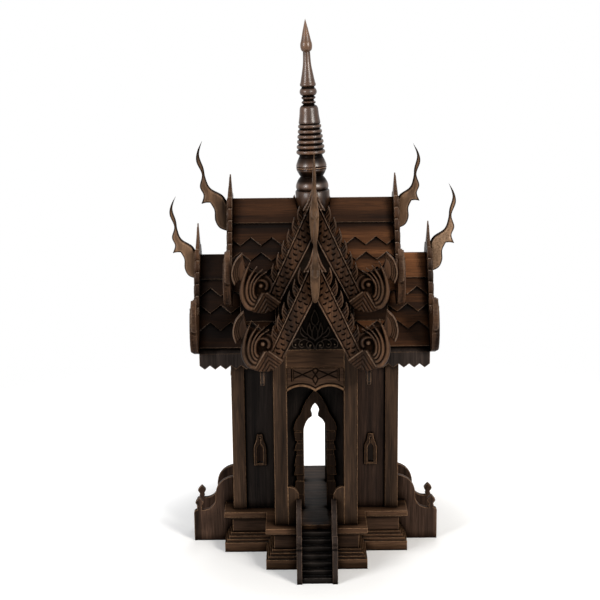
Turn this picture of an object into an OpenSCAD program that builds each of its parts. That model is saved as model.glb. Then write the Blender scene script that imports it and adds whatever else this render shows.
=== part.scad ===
// Carved teak spirit house on a cross plan: four porches with stairs round a small chamber,
// a two-tier cross roof with serpent bargeboards and horn finials, and a turned spire.
// Millimetres, +Z up, origin under the middle of the plinth, front porch towards -Y.

/* [Plan] */
// Width of each arm over its porch posts
arm_w = 138; // [128:1:150]
// Distance from the centre to the faces of the porch posts
arm_reach = 142; // [134:1:152]
// Side of the square porch posts
post_side = 22; // [18:1:26]
// Thickness of the wall boards
wall_t = 8; // [6:0.5:11]
// Setback of the wall boards behind the post faces
wall_set = 4; // [2:0.5:6]

/* [Plinth] */
// Projection of the base and cap slabs beyond the posts
plinth_out = 16; // [12:1:20]
// Projection of the waist beyond the posts
waist_out = 2.5; // [1:0.5:5]
// Height of the base slab
base_h = 17; // [12:1:22]
// Height of each of the three stepped fillets on the base slab
fillet_h = 5; // [3:0.5:6]
// Height of the waist
waist_h = 26; // [18:1:34]
// Height of the hollow moulding under the cap
cove_h = 6; // [4:0.5:8]
// Thickness of the cap slab, which is the floor
cap_h = 9; // [7:0.5:12]

/* [Stairs] */
// Reach of the stairs beyond the porch posts
stair_run = 73; // [64:1:82]
// Width of each stair over its strings
stair_w = 67; // [60:1:74]
// Thickness of the stair strings and their buds
string_t = 8.5; // [7:0.5:10]
// Treads in each flight, not counting the floor
tread_count = 7; // [5:1:9]
// Height of the string over the floor where it meets the porch
string_rise = 46; // [40:1:52]
// Drop from the floor to the level foot of the string
foot_drop = 16; // [12:1:20]
// Height of the bud on the foot of the string
bud_h = 23; // [18:1:27]

/* [Porch] */
// Height from the floor to the crowns of the porch arch
porch_h = 242; // [230:1:254]
// Drop from the arch crowns to the posts and the middle cusp
arch_drop = 9; // [6:1:12]
// Height of the carved frieze between the arch crowns and the tie beam
frieze_h = 32; // [26:1:38]
// Height of the plain tie beam
beam_h = 30; // [24:1:34]
// Thickness of the lintel board
lintel_t = 10; // [8:1:13]
// Setback of the frieze behind the tie beam and the arch moulding
frieze_set = 2; // [1:0.25:3]
// Height of the low panels beside the stairs
sill_h = 68; // [58:1:76]
// Reach of the low panels in from the posts
sill_w = 18; // [14:1:20]

/* [Doorways and windows] */
// Clear width of the inner doorways
door_w = 39; // [35:1:44]
// Height of the doorway's jambs from the floor
jamb_h = 142; // [130:1:152]
// Height of the doorway's domed head, from the jambs to its neck
dome_h = 27; // [22:1:32]
// Height of the pointed bud over the doorway's neck
door_bud_h = 23; // [18:1:28]
// Width of the doorway frames
frame_w = 73; // [66:1:78]
// Height of the frames' point over the doorway's point
head_over = 24; // [18:1:28]
// Thickness of the doorway frames
frame_t = 7; // [5:0.5:9]
// Height of the small windows' frames over the floor
niche_up = 80; // [72:1:92]
// Width of the small windows' frames
niche_w = 21; // [18:1:26]
// Height of the small windows' frames
niche_h = 56; // [50:1:62]
// Height of the bottom rail of the small windows' frames
niche_sill = 3; // [2:0.5:5]
// Clear width of the small windows
niche_clear = 11; // [9:0.5:12]
// Shift of the small windows from the middle of the wall towards the posts
niche_shift = 2.5; // [0:0.5:5]

/* [Roof] */
// Pitch of the roof boards
pitch = 55; // [53:0.5:57]
// Height of the roof's underside over the tops of the posts
roof_rest = 7.5; // [5:0.5:10]
// Height of the upper ridge over the lower ridge
tier_rise = 96; // [88:1:104]
// Reach of the lower roof beyond the porch posts, to the backs of its bargeboards
gable_over = 51; // [44:1:58]
// Reach of the eaves beyond the sides of the arms
eave_over = 19; // [15:1:23]
// Horizontal distance from a ridge to the edge of its plain ridge board
ridge_board_out = 27; // [24:1:30]
// How much lower the upper tier's first zigzag row lies than the lower tier's
upper_row_drop = 6; // [0:0.5:8]
// Thickness of the roof deck
deck_t = 6; // [5:0.5:8]
// Thickness of each lapped roof board
lap_t = 2.5; // [2:0.25:3]
// Length of one tooth along the zigzag roof boards
tooth_pitch = 35; // [28:1:42]
// Depth of the teeth of the roof boards
tooth_h = 15; // [10:1:16]
// Thickness of the skirt boards that carry the upper tier
skirt_t = 5; // [4:0.5:5]
// Setback of the skirts and panels of the upper tier behind its bargeboards
skirt_set = 12; // [8:1:20]
// Thickness of the hanging eaves boards
valance_t = 6; // [5:0.5:8]
// Drop of the eaves boards' tips below the eaves
valance_drop = 27; // [20:1:32]

/* [Bargeboards] */
// Thickness of the bargeboards
barge_t = 7; // [6:0.5:9]
// How far the curled ends stand proud of the bargeboards
curl_proud = 6; // [4:0.5:8]
// Slope of the outer edge of the bargeboards
barge_slope = 65.2; // [64:0.1:67]
// Depth of the scaled body at the middle of the gable, measured plumb
body_depth = 68; // [60:1:74]
// Height of the lower body's outer edge over the ridge at the middle of the gable
lower_body_over = 33; // [28:1:38]
// Height of the upper body's outer edge over the ridge at the middle of the gable
upper_body_over = 25; // [20:1:30]
// Width of the raised borders of the scaled body
border_w = 2.4; // [1.5:0.1:3.5]
// Height of the lower apex points above the ridge
lower_spike_h = 54; // [46:1:58]
// Height of the upper apex points above the ridge
upper_spike_h = 41; // [36:1:50]
// Radius of the curled ends
curl_r = 36; // [32:0.5:39]
// Distance of the curls' eyes from the outer edge of the body
eye_off = 13.5; // [11:0.5:16]
// Distance of the lower curls' eyes in from the line of the eaves
lower_curl_in = 4; // [0:0.5:8]
// Distance of the upper curls' eyes in from the line of the eaves
upper_curl_in = 1; // [0:0.5:5]
// Clearance between the curled ends of neighbouring upper gables, measured along each
corner_clear = 2.5; // [1.5:0.5:6]
// Strands in each curl
strand_count = 4; // [3:1:5]
// Flames along each bargeboard
flame_count = 6; // [5:1:8]
// Height of each flame
flame_h = 29; // [24:1:32]
// Rise from one flame to the next
flame_step = 18.5; // [16:0.5:21]

/* [Finials and spire] */
// Width of the horn finials at the body
horn_t = 17; // [13:0.5:20]
// Width of the horn finials at the tip
horn_tip_t = 4; // [3:0.5:6]
// Height of a full horn finial above the ridge
horn_h = 98; // [86:1:110]
// Height of the spire above the upper ridge
spire_h = 296; // [270:1:320]
// Radius of the spire's foot
spire_r = 30; // [27:0.5:32]
// Lean of the spire towards the left porch, as it stands
spire_lean = 2; // [0:0.25:3]

/* [Hidden] */
$fn = 96;

// Turns of the four arms about the vertical axis, from the front one
FRONT = 0;
RIGHT = 90;
BACK = 180;
LEFT = 270;
ARMS = [FRONT, RIGHT, BACK, LEFT];

// Hairline between boards that meet but are separate
hairline = 0.2;
// Overshoot of cuts past the faces that they open
cut = 1;
// Side of the cutting shapes that reach past the whole building
far = 600;

// Heights, reaches and half widths that follow from the sizes above
arm_half = arm_w / 2;
fillet_count = 3;
waist_bottom = base_h + fillet_count * fillet_h;
waist_top = waist_bottom + waist_h;
floor_z = waist_top + cove_h + cap_h;
wall_out = arm_half - wall_set;
wall_in = wall_out - wall_t;
post_in = arm_half - post_side;
stair_reach = arm_reach + stair_run;
string_top = floor_z + string_rise;
string_foot = floor_z - foot_drop;
arch_crown = floor_z + porch_h;
beam_bottom = arch_crown + frieze_h;
beam_top = beam_bottom + beam_h;
door_spring = floor_z + jamb_h;
door_neck = door_spring + dome_h;
door_tip = door_neck + door_bud_h;
frame_tip = door_tip + head_over;
niche_bottom = floor_z + niche_up;
niche_rim = (niche_w - niche_clear) / 2;
niche_x = (arm_reach - post_side + wall_out) / 2 + niche_shift;

// Roof planes: n is the height over the underside of the deck, square to the slope
lap_count = 4;
roof_n = deck_t + lap_count * lap_t;
lower_ridge = beam_top + roof_rest + arm_half * tan(pitch) + roof_n / cos(pitch);
upper_ridge = lower_ridge + tier_rise;
lower_gable = arm_reach + gable_over;
eave_out = arm_half + eave_over;
// Outer edge of the crest leaf of a curl, in hundredths of the curl's radius from its eye
CREST_BACK = [[115, 26], [126, 52], [129, 83], [121, 119], [105, 147], [79, 172]];
crest_out = max([for (p = CREST_BACK) p[0]]) * curl_r / 100;
// The upper gables stand where the curls of neighbouring arms just clear each other
upper_gable = eave_out - upper_curl_in + crest_out + corner_clear;
function slope_z(ridge, n, d) = ridge - (roof_n - n) / cos(pitch) - d * tan(pitch);
// Distance out from the ridge to the lower edge of a lapped board, counted up from the eaves
function lap_out(i) = eave_out - (i + 1) * (eave_out - ridge_board_out) / lap_count;
// The same with the zigzag rows let down, the first row under the ridge board by the whole drop
function row_out(i, drop) = lap_out(i) + (i < lap_count - 1 ? drop * (i + 1) / (lap_count - 1) : 0);
// The skirts stand on the lowest lapped boards, just above the notches of their teeth
skirt_out = lap_out(0) - tooth_h * cos(pitch);
skirt_in = skirt_out - skirt_t;

// Smooth line through the points, with the steps on each span
function knot(p, i) = p[max(0, min(len(p) - 1, i))];
function span_point(a, b, c, d, t) =
    b + (c - a) * t / 2
    + (2 * a - 5 * b + 4 * c - d) * t * t / 2
    + (3 * b - a - 3 * c + d) * t * t * t / 2;
function smooth(p, steps = 5) = [
    for (i = [0 : len(p) - 2], k = [0 : steps - 1])
        span_point(knot(p, i - 1), p[i], p[i + 1], knot(p, i + 2), k / steps)
];
// Points given in hundredths of a size
function sized(p, size) = [for (q = p) q * size / 100];
// The same outline on the other side of the y axis, from its end back to its start
function other_side(p) = [for (i = [len(p) - 1 : -1 : 0]) [-p[i][0], p[i][1]]];

// Strip of a width along a line, thinned towards its end down to a share of the width
function square_to(p, i) =
    let (d = knot(p, i + 1) - knot(p, i - 1)) [-d[1], d[0]] / norm(d);
module strip(line, w, thinned = 1) {
    last = len(line) - 1;
    half = [for (i = [0 : last]) w / 2 * (1 - (1 - thinned) * pow(i / last, 3))];
    polygon(concat(
        [for (i = [0 : last]) line[i] + square_to(line, i) * half[i]],
        [for (i = [last : -1 : 0]) line[i] - square_to(line, i) * half[i]]
    ));
}

// Colours of the stained wood: faces, worn edges and dark recesses
dark_teak = [0.16, 0.10, 0.07];
teak = [0.24, 0.15, 0.09];
worn_teak = [0.33, 0.19, 0.10];

// A cross of two equal bars, with the notches for the stairs in its four ends
module cross_plan(grow) {
    difference() {
        union() {
            square([arm_w + 2 * grow, 2 * (arm_reach + grow)], center = true);
            square([2 * (arm_reach + grow), arm_w + 2 * grow], center = true);
        }
        for (turn = ARMS)
            rotate(turn)
                translate([-stair_w / 2, -arm_reach - grow - cut])
                    square([stair_w, grow + cut]);
    }
}

// Base slab with the three fillets that step in towards the waist
module plinth_base() {
    step_in = (plinth_out - waist_out) / (fillet_count + 1);
    color(teak) {
        linear_extrude(base_h) cross_plan(plinth_out);
        for (i = [1 : fillet_count])
            translate([0, 0, base_h + (i - 1) * fillet_h])
                linear_extrude(fillet_h) cross_plan(plinth_out - i * step_in);
    }
}

module plinth_waist() {
    color(dark_teak)
        translate([0, 0, waist_bottom])
            linear_extrude(waist_h) cross_plan(waist_out);
}

// Cap slab over a stepped cove
module plinth_cap() {
    cove_count = 3;
    step_out = (plinth_out - waist_out) / (cove_count + 1);
    color(worn_teak) {
        for (i = [1 : cove_count])
            translate([0, 0, waist_top + (i - 1) * cove_h / cove_count])
                linear_extrude(cove_h / cove_count) cross_plan(waist_out + i * step_out);
        translate([0, 0, waist_top + cove_h])
            linear_extrude(cap_h) cross_plan(plinth_out);
    }
}

// One flight of plank treads between its strings, each lapping the one below
module stair(turn) {
    clear_w = stair_w - 2 * string_t;
    nose_set = 3;
    tread_lap = 6;
    riser = floor_z / (tread_count + 1);
    run = (stair_reach - nose_set - arm_reach) / tread_count;
    color(dark_teak)
        rotate([0, 0, turn])
            for (i = [0 : tread_count - 1]) {
                nose = stair_reach - nose_set - i * run;
                depth = min(run + tread_lap, nose - arm_reach);
                translate([-clear_w / 2, -nose, i * riser + (i > 0 ? hairline : 0)])
                    cube([clear_w, depth, riser - (i > 0 ? hairline : 0)]);
            }
}

// Side outline of a stair string: x runs out from the centre, y is height
module string_outline() {
    brow_r = 0.74 * string_rise;
    hollow_r = string_top - brow_r - string_foot - bud_h / 4;
    corner_r = 5;
    bud_set = 10;
    brow_x = arm_reach + brow_r;
    difference() {
        union() {
            translate([arm_reach, 0]) square([brow_r, string_top - brow_r]);
            intersection() {
                translate([arm_reach, string_top - brow_r]) circle(brow_r);
                translate([arm_reach, 0]) square([brow_r + cut, string_top + cut]);
            }
            translate([arm_reach, 0]) square([stair_run - corner_r, string_foot]);
            translate([arm_reach, 0]) square([stair_run, string_foot - corner_r]);
            translate([stair_reach - corner_r, string_foot - corner_r]) circle(corner_r);
            translate([brow_x - cut, string_foot - cut]) square([hollow_r + cut, hollow_r + cut]);
        }
        translate([brow_x + hollow_r, string_foot + hollow_r]) circle(hollow_r);
    }
    translate([stair_reach - bud_set, string_foot]) bud_outline();
}

// Flat cut-out bud on the foot of a string: a ring, a waist and a pointed bud
module bud_outline() {
    ring_r = bud_h / 5;
    half = smooth(sized([[11, 30], [26, 52], [30, 65], [17, 83], [0, 100]], bud_h));
    translate([0, 0.75 * ring_r]) circle(ring_r);
    polygon(concat([[0, bud_h / 4]], half, [[0, bud_h]], other_side(half)));
}

module strings(turn) {
    color(teak)
        rotate([0, 0, turn])
            for (x = [-stair_w / 2, stair_w / 2 - string_t])
                translate([x, 0, 0])
                    rotate([90, 0, -90])
                        mirror([0, 0, 1])
                            linear_extrude(string_t) string_outline();
}

// Eight square posts at the ends of the arms
module porch_posts() {
    color(teak)
        for (turn = ARMS, x = [-arm_half, post_in])
            rotate([0, 0, turn])
                translate([x, -arm_reach, floor_z])
                    cube([post_side, post_side, beam_top - floor_z]);
}

// Low panels between the posts and the stairs, with a rounded inner shoulder
module sill_panels() {
    color(dark_teak)
        for (turn = ARMS, side = [0, 1])
            rotate([0, 0, turn])
                mirror([side, 0, 0])
                    translate([post_in, wall_t - arm_reach, floor_z])
                        rotate([90, 0, 0])
                            linear_extrude(wall_t) sill_outline();
}

module sill_outline() {
    shoulder_r = sill_w - 1;
    translate([-sill_w, 0]) square([sill_w, sill_h - shoulder_r]);
    translate([-sill_w + shoulder_r, 0]) square([sill_w - shoulder_r, sill_h]);
    intersection() {
        translate([-sill_w + shoulder_r, sill_h - shoulder_r]) circle(shoulder_r);
        translate([-sill_w, 0]) square([sill_w, sill_h]);
    }
}

// Opening of a small window: straight sides, a closing head, a slit and a round eye
module niche_opening() {
    clear_h = niche_h - niche_sill - niche_rim;
    eye_r = 0.17 * niche_clear;
    slit_w = 0.8 * eye_r;
    half = smooth([
        [niche_clear / 2, 0.56 * clear_h],
        [0.4 * niche_clear, 0.64 * clear_h],
        [slit_w / 2, 0.74 * clear_h]
    ]);
    polygon(concat([[niche_clear / 2, 0]], half, other_side(half), [[-niche_clear / 2, 0]]));
    translate([-slit_w / 2, 0.7 * clear_h]) square([slit_w, 0.23 * clear_h]);
    translate([0, 0.93 * clear_h]) circle(eye_r);
}

// Frame of a small window: straight sides, hollow shoulders and a blunt top
module niche_outline() {
    half = smooth([
        [niche_w / 2, 0.54 * niche_h], [0.44 * niche_w, 0.65 * niche_h],
        [0.3 * niche_w, 0.78 * niche_h], [0.24 * niche_w, 0.9 * niche_h],
        [0.2 * niche_w, niche_h]
    ]);
    polygon(concat([[niche_w / 2, 0]], half, other_side(half), [[-niche_w / 2, 0]]));
}

// The two walls of an inner corner, each bevelled under the roof and pierced by a window
module corner_wall(turn) {
    color(dark_teak)
        rotate([0, 0, turn])
            difference() {
                intersection() {
                    union() {
                        wall_board();
                        mirror([1, -1, 0]) wall_board();
                    }
                    translate([-far, -far, 0]) cube([far, far, far]);
                }
                niche_cut();
                mirror([1, -1, 0]) niche_cut();
            }
}

// Board along the front of the left arm, from the post to the inner corner
module wall_board() {
    board_l = arm_reach - post_side - wall_in;
    translate([post_side - arm_reach, 0, 0])
        rotate([90, 0, 90])
            linear_extrude(board_l)
                polygon([
                    [-wall_out, floor_z], [-wall_in, floor_z],
                    [-wall_in, slope_z(lower_ridge, 0, wall_in)],
                    [-wall_out, slope_z(lower_ridge, 0, wall_out)]
                ]);
}

module niche_cut() {
    translate([-niche_x, -wall_in + cut, niche_bottom + niche_sill])
        rotate([90, 0, 0])
            linear_extrude(wall_t + 2 * cut) niche_opening();
}

// Raised frames round the small windows
module niche_frames() {
    frame_proud = wall_set - 0.5;
    color(worn_teak)
        for (turn = ARMS, side = [0, 1])
            rotate([0, 0, turn])
                mirror([side, 0, 0])
                    translate([-niche_x, -wall_out, niche_bottom])
                        rotate([90, 0, 0])
                            linear_extrude(frame_proud)
                                difference() {
                                    niche_outline();
                                    translate([0, niche_sill]) niche_opening();
                                }
}

// Doorway outline: straight jambs, a domed head, a neck and a pointed bud
module doorway() {
    w = door_w / 2;
    half = concat(
        smooth([
            [w, door_spring], [0.97 * w, door_spring + 0.2 * dome_h],
            [0.83 * w, door_spring + 0.52 * dome_h], [0.62 * w, door_spring + 0.78 * dome_h],
            [0.33 * w, door_spring + 0.95 * dome_h], [0.26 * w, door_neck]
        ], 3),
        smooth([
            [0.26 * w, door_neck], [0.37 * w, door_neck + 0.4 * door_bud_h],
            [0.22 * w, door_neck + 0.78 * door_bud_h], [0, door_tip]
        ], 4)
    );
    polygon(concat([[w, 0]], half, [[0, door_tip]], other_side(half), [[-w, 0]]));
}

// Head board over a doorway: upright shoulders, hollow flanks and a point
module head_outline() {
    w = frame_w / 2;
    rise = frame_tip - door_spring;
    half = smooth([
        [w, door_spring + 0.1 * rise], [0.9 * w, door_spring + 0.25 * rise],
        [0.67 * w, door_spring + 0.43 * rise], [0.52 * w, door_spring + 0.63 * rise],
        [0.27 * w, door_spring + 0.84 * rise], [0, frame_tip]
    ], 4);
    polygon(concat([[w, door_spring]], half, [[0, frame_tip]], other_side(half), [[-w, door_spring]]));
}

// Moulding of a jamb, in hundredths of its height and of its width or thickness: a plain
// foot, flaring blocks with hollows between them, and a block that opens out under the head
JAMB = [
    [0, 100], [19, 100], [19, 97], [36, 86], [36, 76], [44, 76], [44, 100], [54.5, 86],
    [55.5, 96], [69.5, 80], [69.5, 74], [75.5, 74], [75.5, 94], [84, 76], [84, 70],
    [87.5, 70], [87.5, 86], [99, 98], [99, 84], [100, 84]
];

module jamb_profile(start, reach) {
    polygon(concat(
        [[0, floor_z]],
        [for (p = JAMB) [start + p[1] * reach / 100, floor_z + p[0] * jamb_h / 100]],
        [[0, door_spring]]
    ));
}

// Wall across the root of an arm, with the doorway to the chamber
module inner_wall(turn) {
    color(dark_teak)
        rotate([0, 0, turn])
            translate([0, wall_t - wall_out, 0])
                rotate([90, 0, 0])
                    linear_extrude(wall_t)
                        difference() {
                            translate([-wall_in + wall_t, floor_z])
                                square([2 * (wall_in - wall_t), beam_top - floor_z]);
                            doorway();
                        }
}

// Pointed frames on moulded jambs, on the porch side of the inner walls
module door_frames() {
    jamb_w = (frame_w - door_w) / 2;
    color(teak)
        for (turn = ARMS)
            rotate([0, 0, turn])
                translate([0, -wall_out, 0]) {
                    rotate([90, 0, 0])
                        linear_extrude(frame_t)
                            difference() {
                                head_outline();
                                doorway();
                            }
                    for (side = [0, 1])
                        mirror([side, 0, 0])
                            intersection() {
                                rotate([90, 0, 0])
                                    linear_extrude(frame_t + cut)
                                        difference() {
                                            jamb_profile(door_w / 2, jamb_w);
                                            square([door_w / 2, far]);
                                        }
                                rotate([90, 0, -90])
                                    translate([0, 0, -frame_w])
                                        linear_extrude(frame_w) jamb_profile(0, frame_t);
                            }
                }
}

// Board between the posts: plain tie beam above, an incised frieze, and two shallow arches
// with a raised edge and a cusp below
module lintels() {
    span = 2 * post_in;
    bay = span / 2;
    arch_r = (bay * bay / 4 + arch_drop * arch_drop) / (2 * arch_drop);
    arch_foot = arch_crown - arch_drop;
    edge = 4;
    groove_d = 1;
    frieze_t = lintel_t - frieze_set;
    color(teak)
        for (turn = ARMS)
            rotate([0, 0, turn])
                translate([0, frieze_t - arm_reach + frieze_set, 0])
                    rotate([90, 0, 0]) {
                        difference() {
                            linear_extrude(frieze_t)
                                difference() {
                                    translate([-span / 2, arch_foot])
                                        square([span, beam_top - arch_foot]);
                                    arch_pair(bay, arch_r, arch_crown);
                                }
                            translate([0, 0, frieze_t - groove_d])
                                linear_extrude(groove_d + cut) frieze_lines(span);
                        }
                        linear_extrude(lintel_t)
                            difference() {
                                translate([-span / 2, arch_foot]) square([span, arch_drop + edge]);
                                arch_pair(bay, arch_r, arch_crown);
                            }
                        translate([-span / 2, beam_bottom, 0]) cube([span, beam_h, lintel_t]);
                    }
}

// Lines of the frieze: an upright near each end, a saltire on each side and a pointed leaf
module frieze_lines(span) {
    line_w = 1.3;
    low = arch_crown + 0.3 * frieze_h;
    high = beam_bottom - 0.08 * frieze_h;
    end_x = 0.4 * span;
    leaf_w = 0.045 * span;
    for (side = [0, 1])
        mirror([side, 0]) {
            strip([[end_x, low], [end_x, high]], line_w);
            strip([[end_x, high], [leaf_w, low]], line_w);
            strip([[end_x, low], [leaf_w, high]], line_w);
            strip(smooth([[0, low - 3], [leaf_w, (low + high) / 2], [0, high]]), line_w);
        }
}

module arch_pair(bay, r, crown) {
    for (x = [-bay / 2, bay / 2])
        translate([x, crown - r]) circle(r);
}

// Gable boards over the tie beams, cut to the underside of the lower roof
module pediments() {
    color(dark_teak)
        for (turn = ARMS)
            rotate([0, 0, turn])
                translate([0, wall_t - arm_reach, 0])
                    rotate([90, 0, 0])
                        linear_extrude(wall_t)
                            polygon([
                                [-arm_half, beam_top], [arm_half, beam_top],
                                [arm_half, slope_z(lower_ridge, 0, arm_half)],
                                [0, slope_z(lower_ridge, 0, 0)],
                                [-arm_half, slope_z(lower_ridge, 0, arm_half)]
                            ]);
}

// Straight or toothed board that covers a slope from the ridge, with the upper corner of its
// lower edge, n over the underside of the deck, at a distance out
module lap_board(reach, out, n, toothed, shift) {
    s_end = (out - n * sin(pitch)) / cos(pitch);
    s_start = -roof_n * tan(pitch) - cut;
    count = ceil(reach / tooth_pitch) + 1;
    teeth = [
        for (i = [0 : count])
            each [
                [s_end - tooth_h, -(i - shift) * tooth_pitch],
                [s_end, -(i - shift + 0.5) * tooth_pitch]
            ]
    ];
    intersection() {
        polygon(toothed
            ? concat([[s_start, tooth_pitch]], teeth, [[s_start, -(count + 1) * tooth_pitch]])
            : [[s_start, 0], [s_end, 0], [s_end, -reach], [s_start, -reach]]);
        translate([s_start, -reach]) square([far, reach]);
    }
}

// Both slopes of one arm, mitred at the valleys and meeting at the ridge
module arm_roof(ridge, reach, row_drop) {
    for (side = [0, 1])
        mirror([side, 0, 0])
            intersection() {
                translate([0, 0, slope_z(ridge, 0, 0)])
                    rotate([0, pitch, 0]) {
                        linear_extrude(deck_t) lap_board(reach, eave_out, deck_t, false, 0);
                        for (i = [0 : lap_count - 1])
                            translate([0, 0, deck_t + i * lap_t])
                                linear_extrude(lap_t)
                                    lap_board(reach, row_out(i, row_drop), deck_t + (i + 1) * lap_t,
                                        i < lap_count - 1, i / 2);
                    }
                linear_extrude(far + far) polygon([[0, 0], [0, -far], [far, -far]]);
            }
}

module lower_roof(turn) {
    color(teak)
        rotate([0, 0, turn]) arm_roof(lower_ridge, lower_gable, 0);
}

// The upper tier stands on skirt boards that rest on the lower roof
module upper_roof(turn) {
    color(teak)
        rotate([0, 0, turn]) {
            arm_roof(upper_ridge, upper_gable, upper_row_drop);
            for (side = [0, 1])
                mirror([side, 0, 0])
                    intersection() {
                        rotate([90, 0, 0])
                            linear_extrude(upper_gable - skirt_set)
                                polygon([
                                    [skirt_in, slope_z(lower_ridge, deck_t + lap_t, skirt_in)],
                                    [skirt_out, slope_z(lower_ridge, deck_t + lap_t, skirt_out)],
                                    [skirt_out, slope_z(upper_ridge, deck_t / 2, skirt_out)],
                                    [skirt_in, slope_z(upper_ridge, deck_t / 2, skirt_in)]
                                ]);
                        linear_extrude(far + far) polygon([[0, 0], [0, -far], [far, -far]]);
                    }
        }
}

// Boards that close the gables between the two tiers of the roof
module upper_gable_panels() {
    color(dark_teak)
        for (turn = ARMS)
            rotate([0, 0, turn])
                translate([0, wall_t - upper_gable + skirt_set, 0])
                    rotate([90, 0, 0])
                        linear_extrude(wall_t)
                            polygon([
                                [0, slope_z(lower_ridge, roof_n, 0)],
                                [skirt_in, slope_z(lower_ridge, roof_n, skirt_in)],
                                [skirt_in, slope_z(upper_ridge, 0, skirt_in)],
                                [0, slope_z(upper_ridge, 0, 0)],
                                [-skirt_in, slope_z(upper_ridge, 0, skirt_in)],
                                [-skirt_in, slope_z(lower_ridge, roof_n, skirt_in)]
                            ]);
}

// Toothed boards that hang under the lower eaves
module eaves_boards() {
    board_x = eave_out - valance_t;
    start = eave_out + hairline;
    board_l = lower_gable - start;
    count = round(board_l / (tooth_pitch / 2));
    step = board_l / count;
    nick = valance_drop / 4;
    valance_bottom = slope_z(lower_ridge, 0, eave_out) - valance_drop;
    valance_top = slope_z(lower_ridge, 0, board_x - cut);
    color(dark_teak)
        for (turn = ARMS, side = [0, 1])
            rotate([0, 0, turn])
                mirror([side, 0, 0])
                    difference() {
                        translate([board_x, 0, 0])
                            rotate([90, 0, 90])
                                linear_extrude(valance_t)
                                    polygon(concat(
                                        [[-start, valance_top], [-lower_gable, valance_top]],
                                        [for (i = [count : -1 : 0]) each [
                                            [-start - i * step, valance_bottom + nick],
                                            if (i > 0) [-start - (i - 0.5) * step, valance_bottom]
                                        ]]
                                    ));
                        rotate([90, 0, 0])
                            linear_extrude(far)
                                polygon([
                                    [0, slope_z(lower_ridge, 0, 0)],
                                    [far, slope_z(lower_ridge, 0, far)],
                                    [far, far]
                                ]);
                    }
}

// Heights on a bargeboard: its outer edge, its inner edge and the eye of its curl
function outer_z(ridge, over, x) = ridge + over - x * tan(barge_slope);
function eye_z(ridge, over, out) = outer_z(ridge, over, out) + eye_off / cos(barge_slope);
// Foot of the body's inner edge, from the eye, in hundredths of the curl's radius
BODY_FOOT = [-94, -40];

// One flame, from its root on the edge of the body: a full outer edge and a hollow inner one
module flame() {
    polygon(concat(
        smooth(sized([[0, 0], [13, 14], [20, 42], [17, 72], [6, 100]], flame_h), 3),
        smooth(sized([[6, 100], [-1, 78], [-11, 60], [-22, 44]], flame_h), 2),
        sized([[-22, 44]], flame_h)
    ));
}

// Scaled body of half a bargeboard, from the middle of the gable down to the curl
module body_outline(ridge, over, out) {
    eye = [out, eye_z(ridge, over, out)];
    lap_x = out - 0.4 * curl_r;
    polygon([
        [0, ridge + over], [0, ridge + over - body_depth], eye + BODY_FOOT * curl_r / 100,
        [lap_x, eye[1] - 0.4 * curl_r], [lap_x, outer_z(ridge, over, lap_x)]
    ]);
}

// Apex point, with edges that sweep up from the first flames
module apex_outline(ridge, over, spike_h) {
    flank = 0.6 * curl_r;
    top = ridge + over;
    polygon(concat(
        [[0, top - body_depth / 2], [flank, outer_z(ridge, over, flank)]],
        smooth([
            [0.5 * flank, top - 0.38 * body_depth], [0.85 * flank, top - 0.4 * body_depth],
            [0.55 * flank, top - 0.24 * body_depth], [0.35 * flank, top - 0.08 * body_depth],
            [0.15 * flank, ridge + 0.78 * spike_h], [0, ridge + spike_h]
        ], 3),
        [[0, ridge + spike_h]]
    ));
}

// Guide lines of the outermost and innermost strands of a curl, from the cuff round to the
// tips, in hundredths of the curl's radius from its eye
OUTER_STRAND = [[22, -80], [53, -75], [72, -51], [82, -19], [82, 17], [75, 56], [64, 89], [47, 128]];
INNER_STRAND = [[11, -33], [21, -26], [28, -14], [30, 3], [28, 25], [18, 47], [-3, 71], [-33, 86]];
function strand(i) =
    let (t = i / (strand_count - 1))
    smooth(sized((1 - t) * OUTER_STRAND + t * INNER_STRAND, curl_r), 2);
strand_gap = norm(OUTER_STRAND[3] - INNER_STRAND[3]) * curl_r / 100 / (strand_count - 1);

// The strands, each of a share of the space that it has
module strands(share) {
    for (i = [0 : strand_count - 1])
        strip(strand(i), share * strand_gap, 0.15);
}

// The sheaf under the strands, wider by a share of a strand on each side and cut short of the
// tips by some points of the guide lines
module sheaf_outline(wider, short) {
    outer = strand(-wider);
    inner = strand(strand_count - 1 + wider);
    last = len(outer) - 1 - short;
    polygon(concat(
        [for (i = [0 : last]) outer[i]],
        [for (i = [last : -1 : 0]) inner[i]]
    ));
}

// Crest leaf on the outside of a curl, with a hooked tail and a tip that leans in
module crest_outline() {
    polygon(concat(
        sized([[70, 28], [93, 50]], curl_r),
        smooth(sized([[93, 50], [106, 36], [115, 26]], curl_r), 2),
        smooth(sized(CREST_BACK, curl_r), 3),
        smooth(sized([[79, 172], [76, 147], [69, 122], [58, 96]], curl_r), 3),
        sized([[58, 96]], curl_r)
    ));
}

// Hub that carries the cuff and the eye: the lower part of a disc, and a small disc in the hook
module hub_outline() {
    intersection() {
        translate([-0.05 * curl_r, -0.03 * curl_r]) circle(curl_r);
        translate([-2 * curl_r, -2 * curl_r]) square([4 * curl_r, 2.08 * curl_r]);
    }
    translate([-0.12 * curl_r, 0.25 * curl_r]) circle(0.48 * curl_r);
}

// Half of a bargeboard seen from the front: body, apex point, flames and curled end
module barge_outline(ridge, over, out, spike_h) {
    first_root = ridge + over - body_depth / 2 - flame_h / 2;
    intersection() {
        union() {
            body_outline(ridge, over, out);
            apex_outline(ridge, over, spike_h);
            for (i = [0 : flame_count - 1]) {
                root_z = first_root - i * flame_step;
                root_x = (ridge + over - root_z) / tan(barge_slope);
                translate([root_x - border_w / 2, root_z]) flame();
            }
            translate([out, eye_z(ridge, over, out)]) {
                hub_outline();
                sheaf_outline(0.6, 1);
                strands(0.9);
                crest_outline();
            }
        }
        translate([hairline / 2, 0]) square([far, 2 * far]);
    }
}

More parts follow.
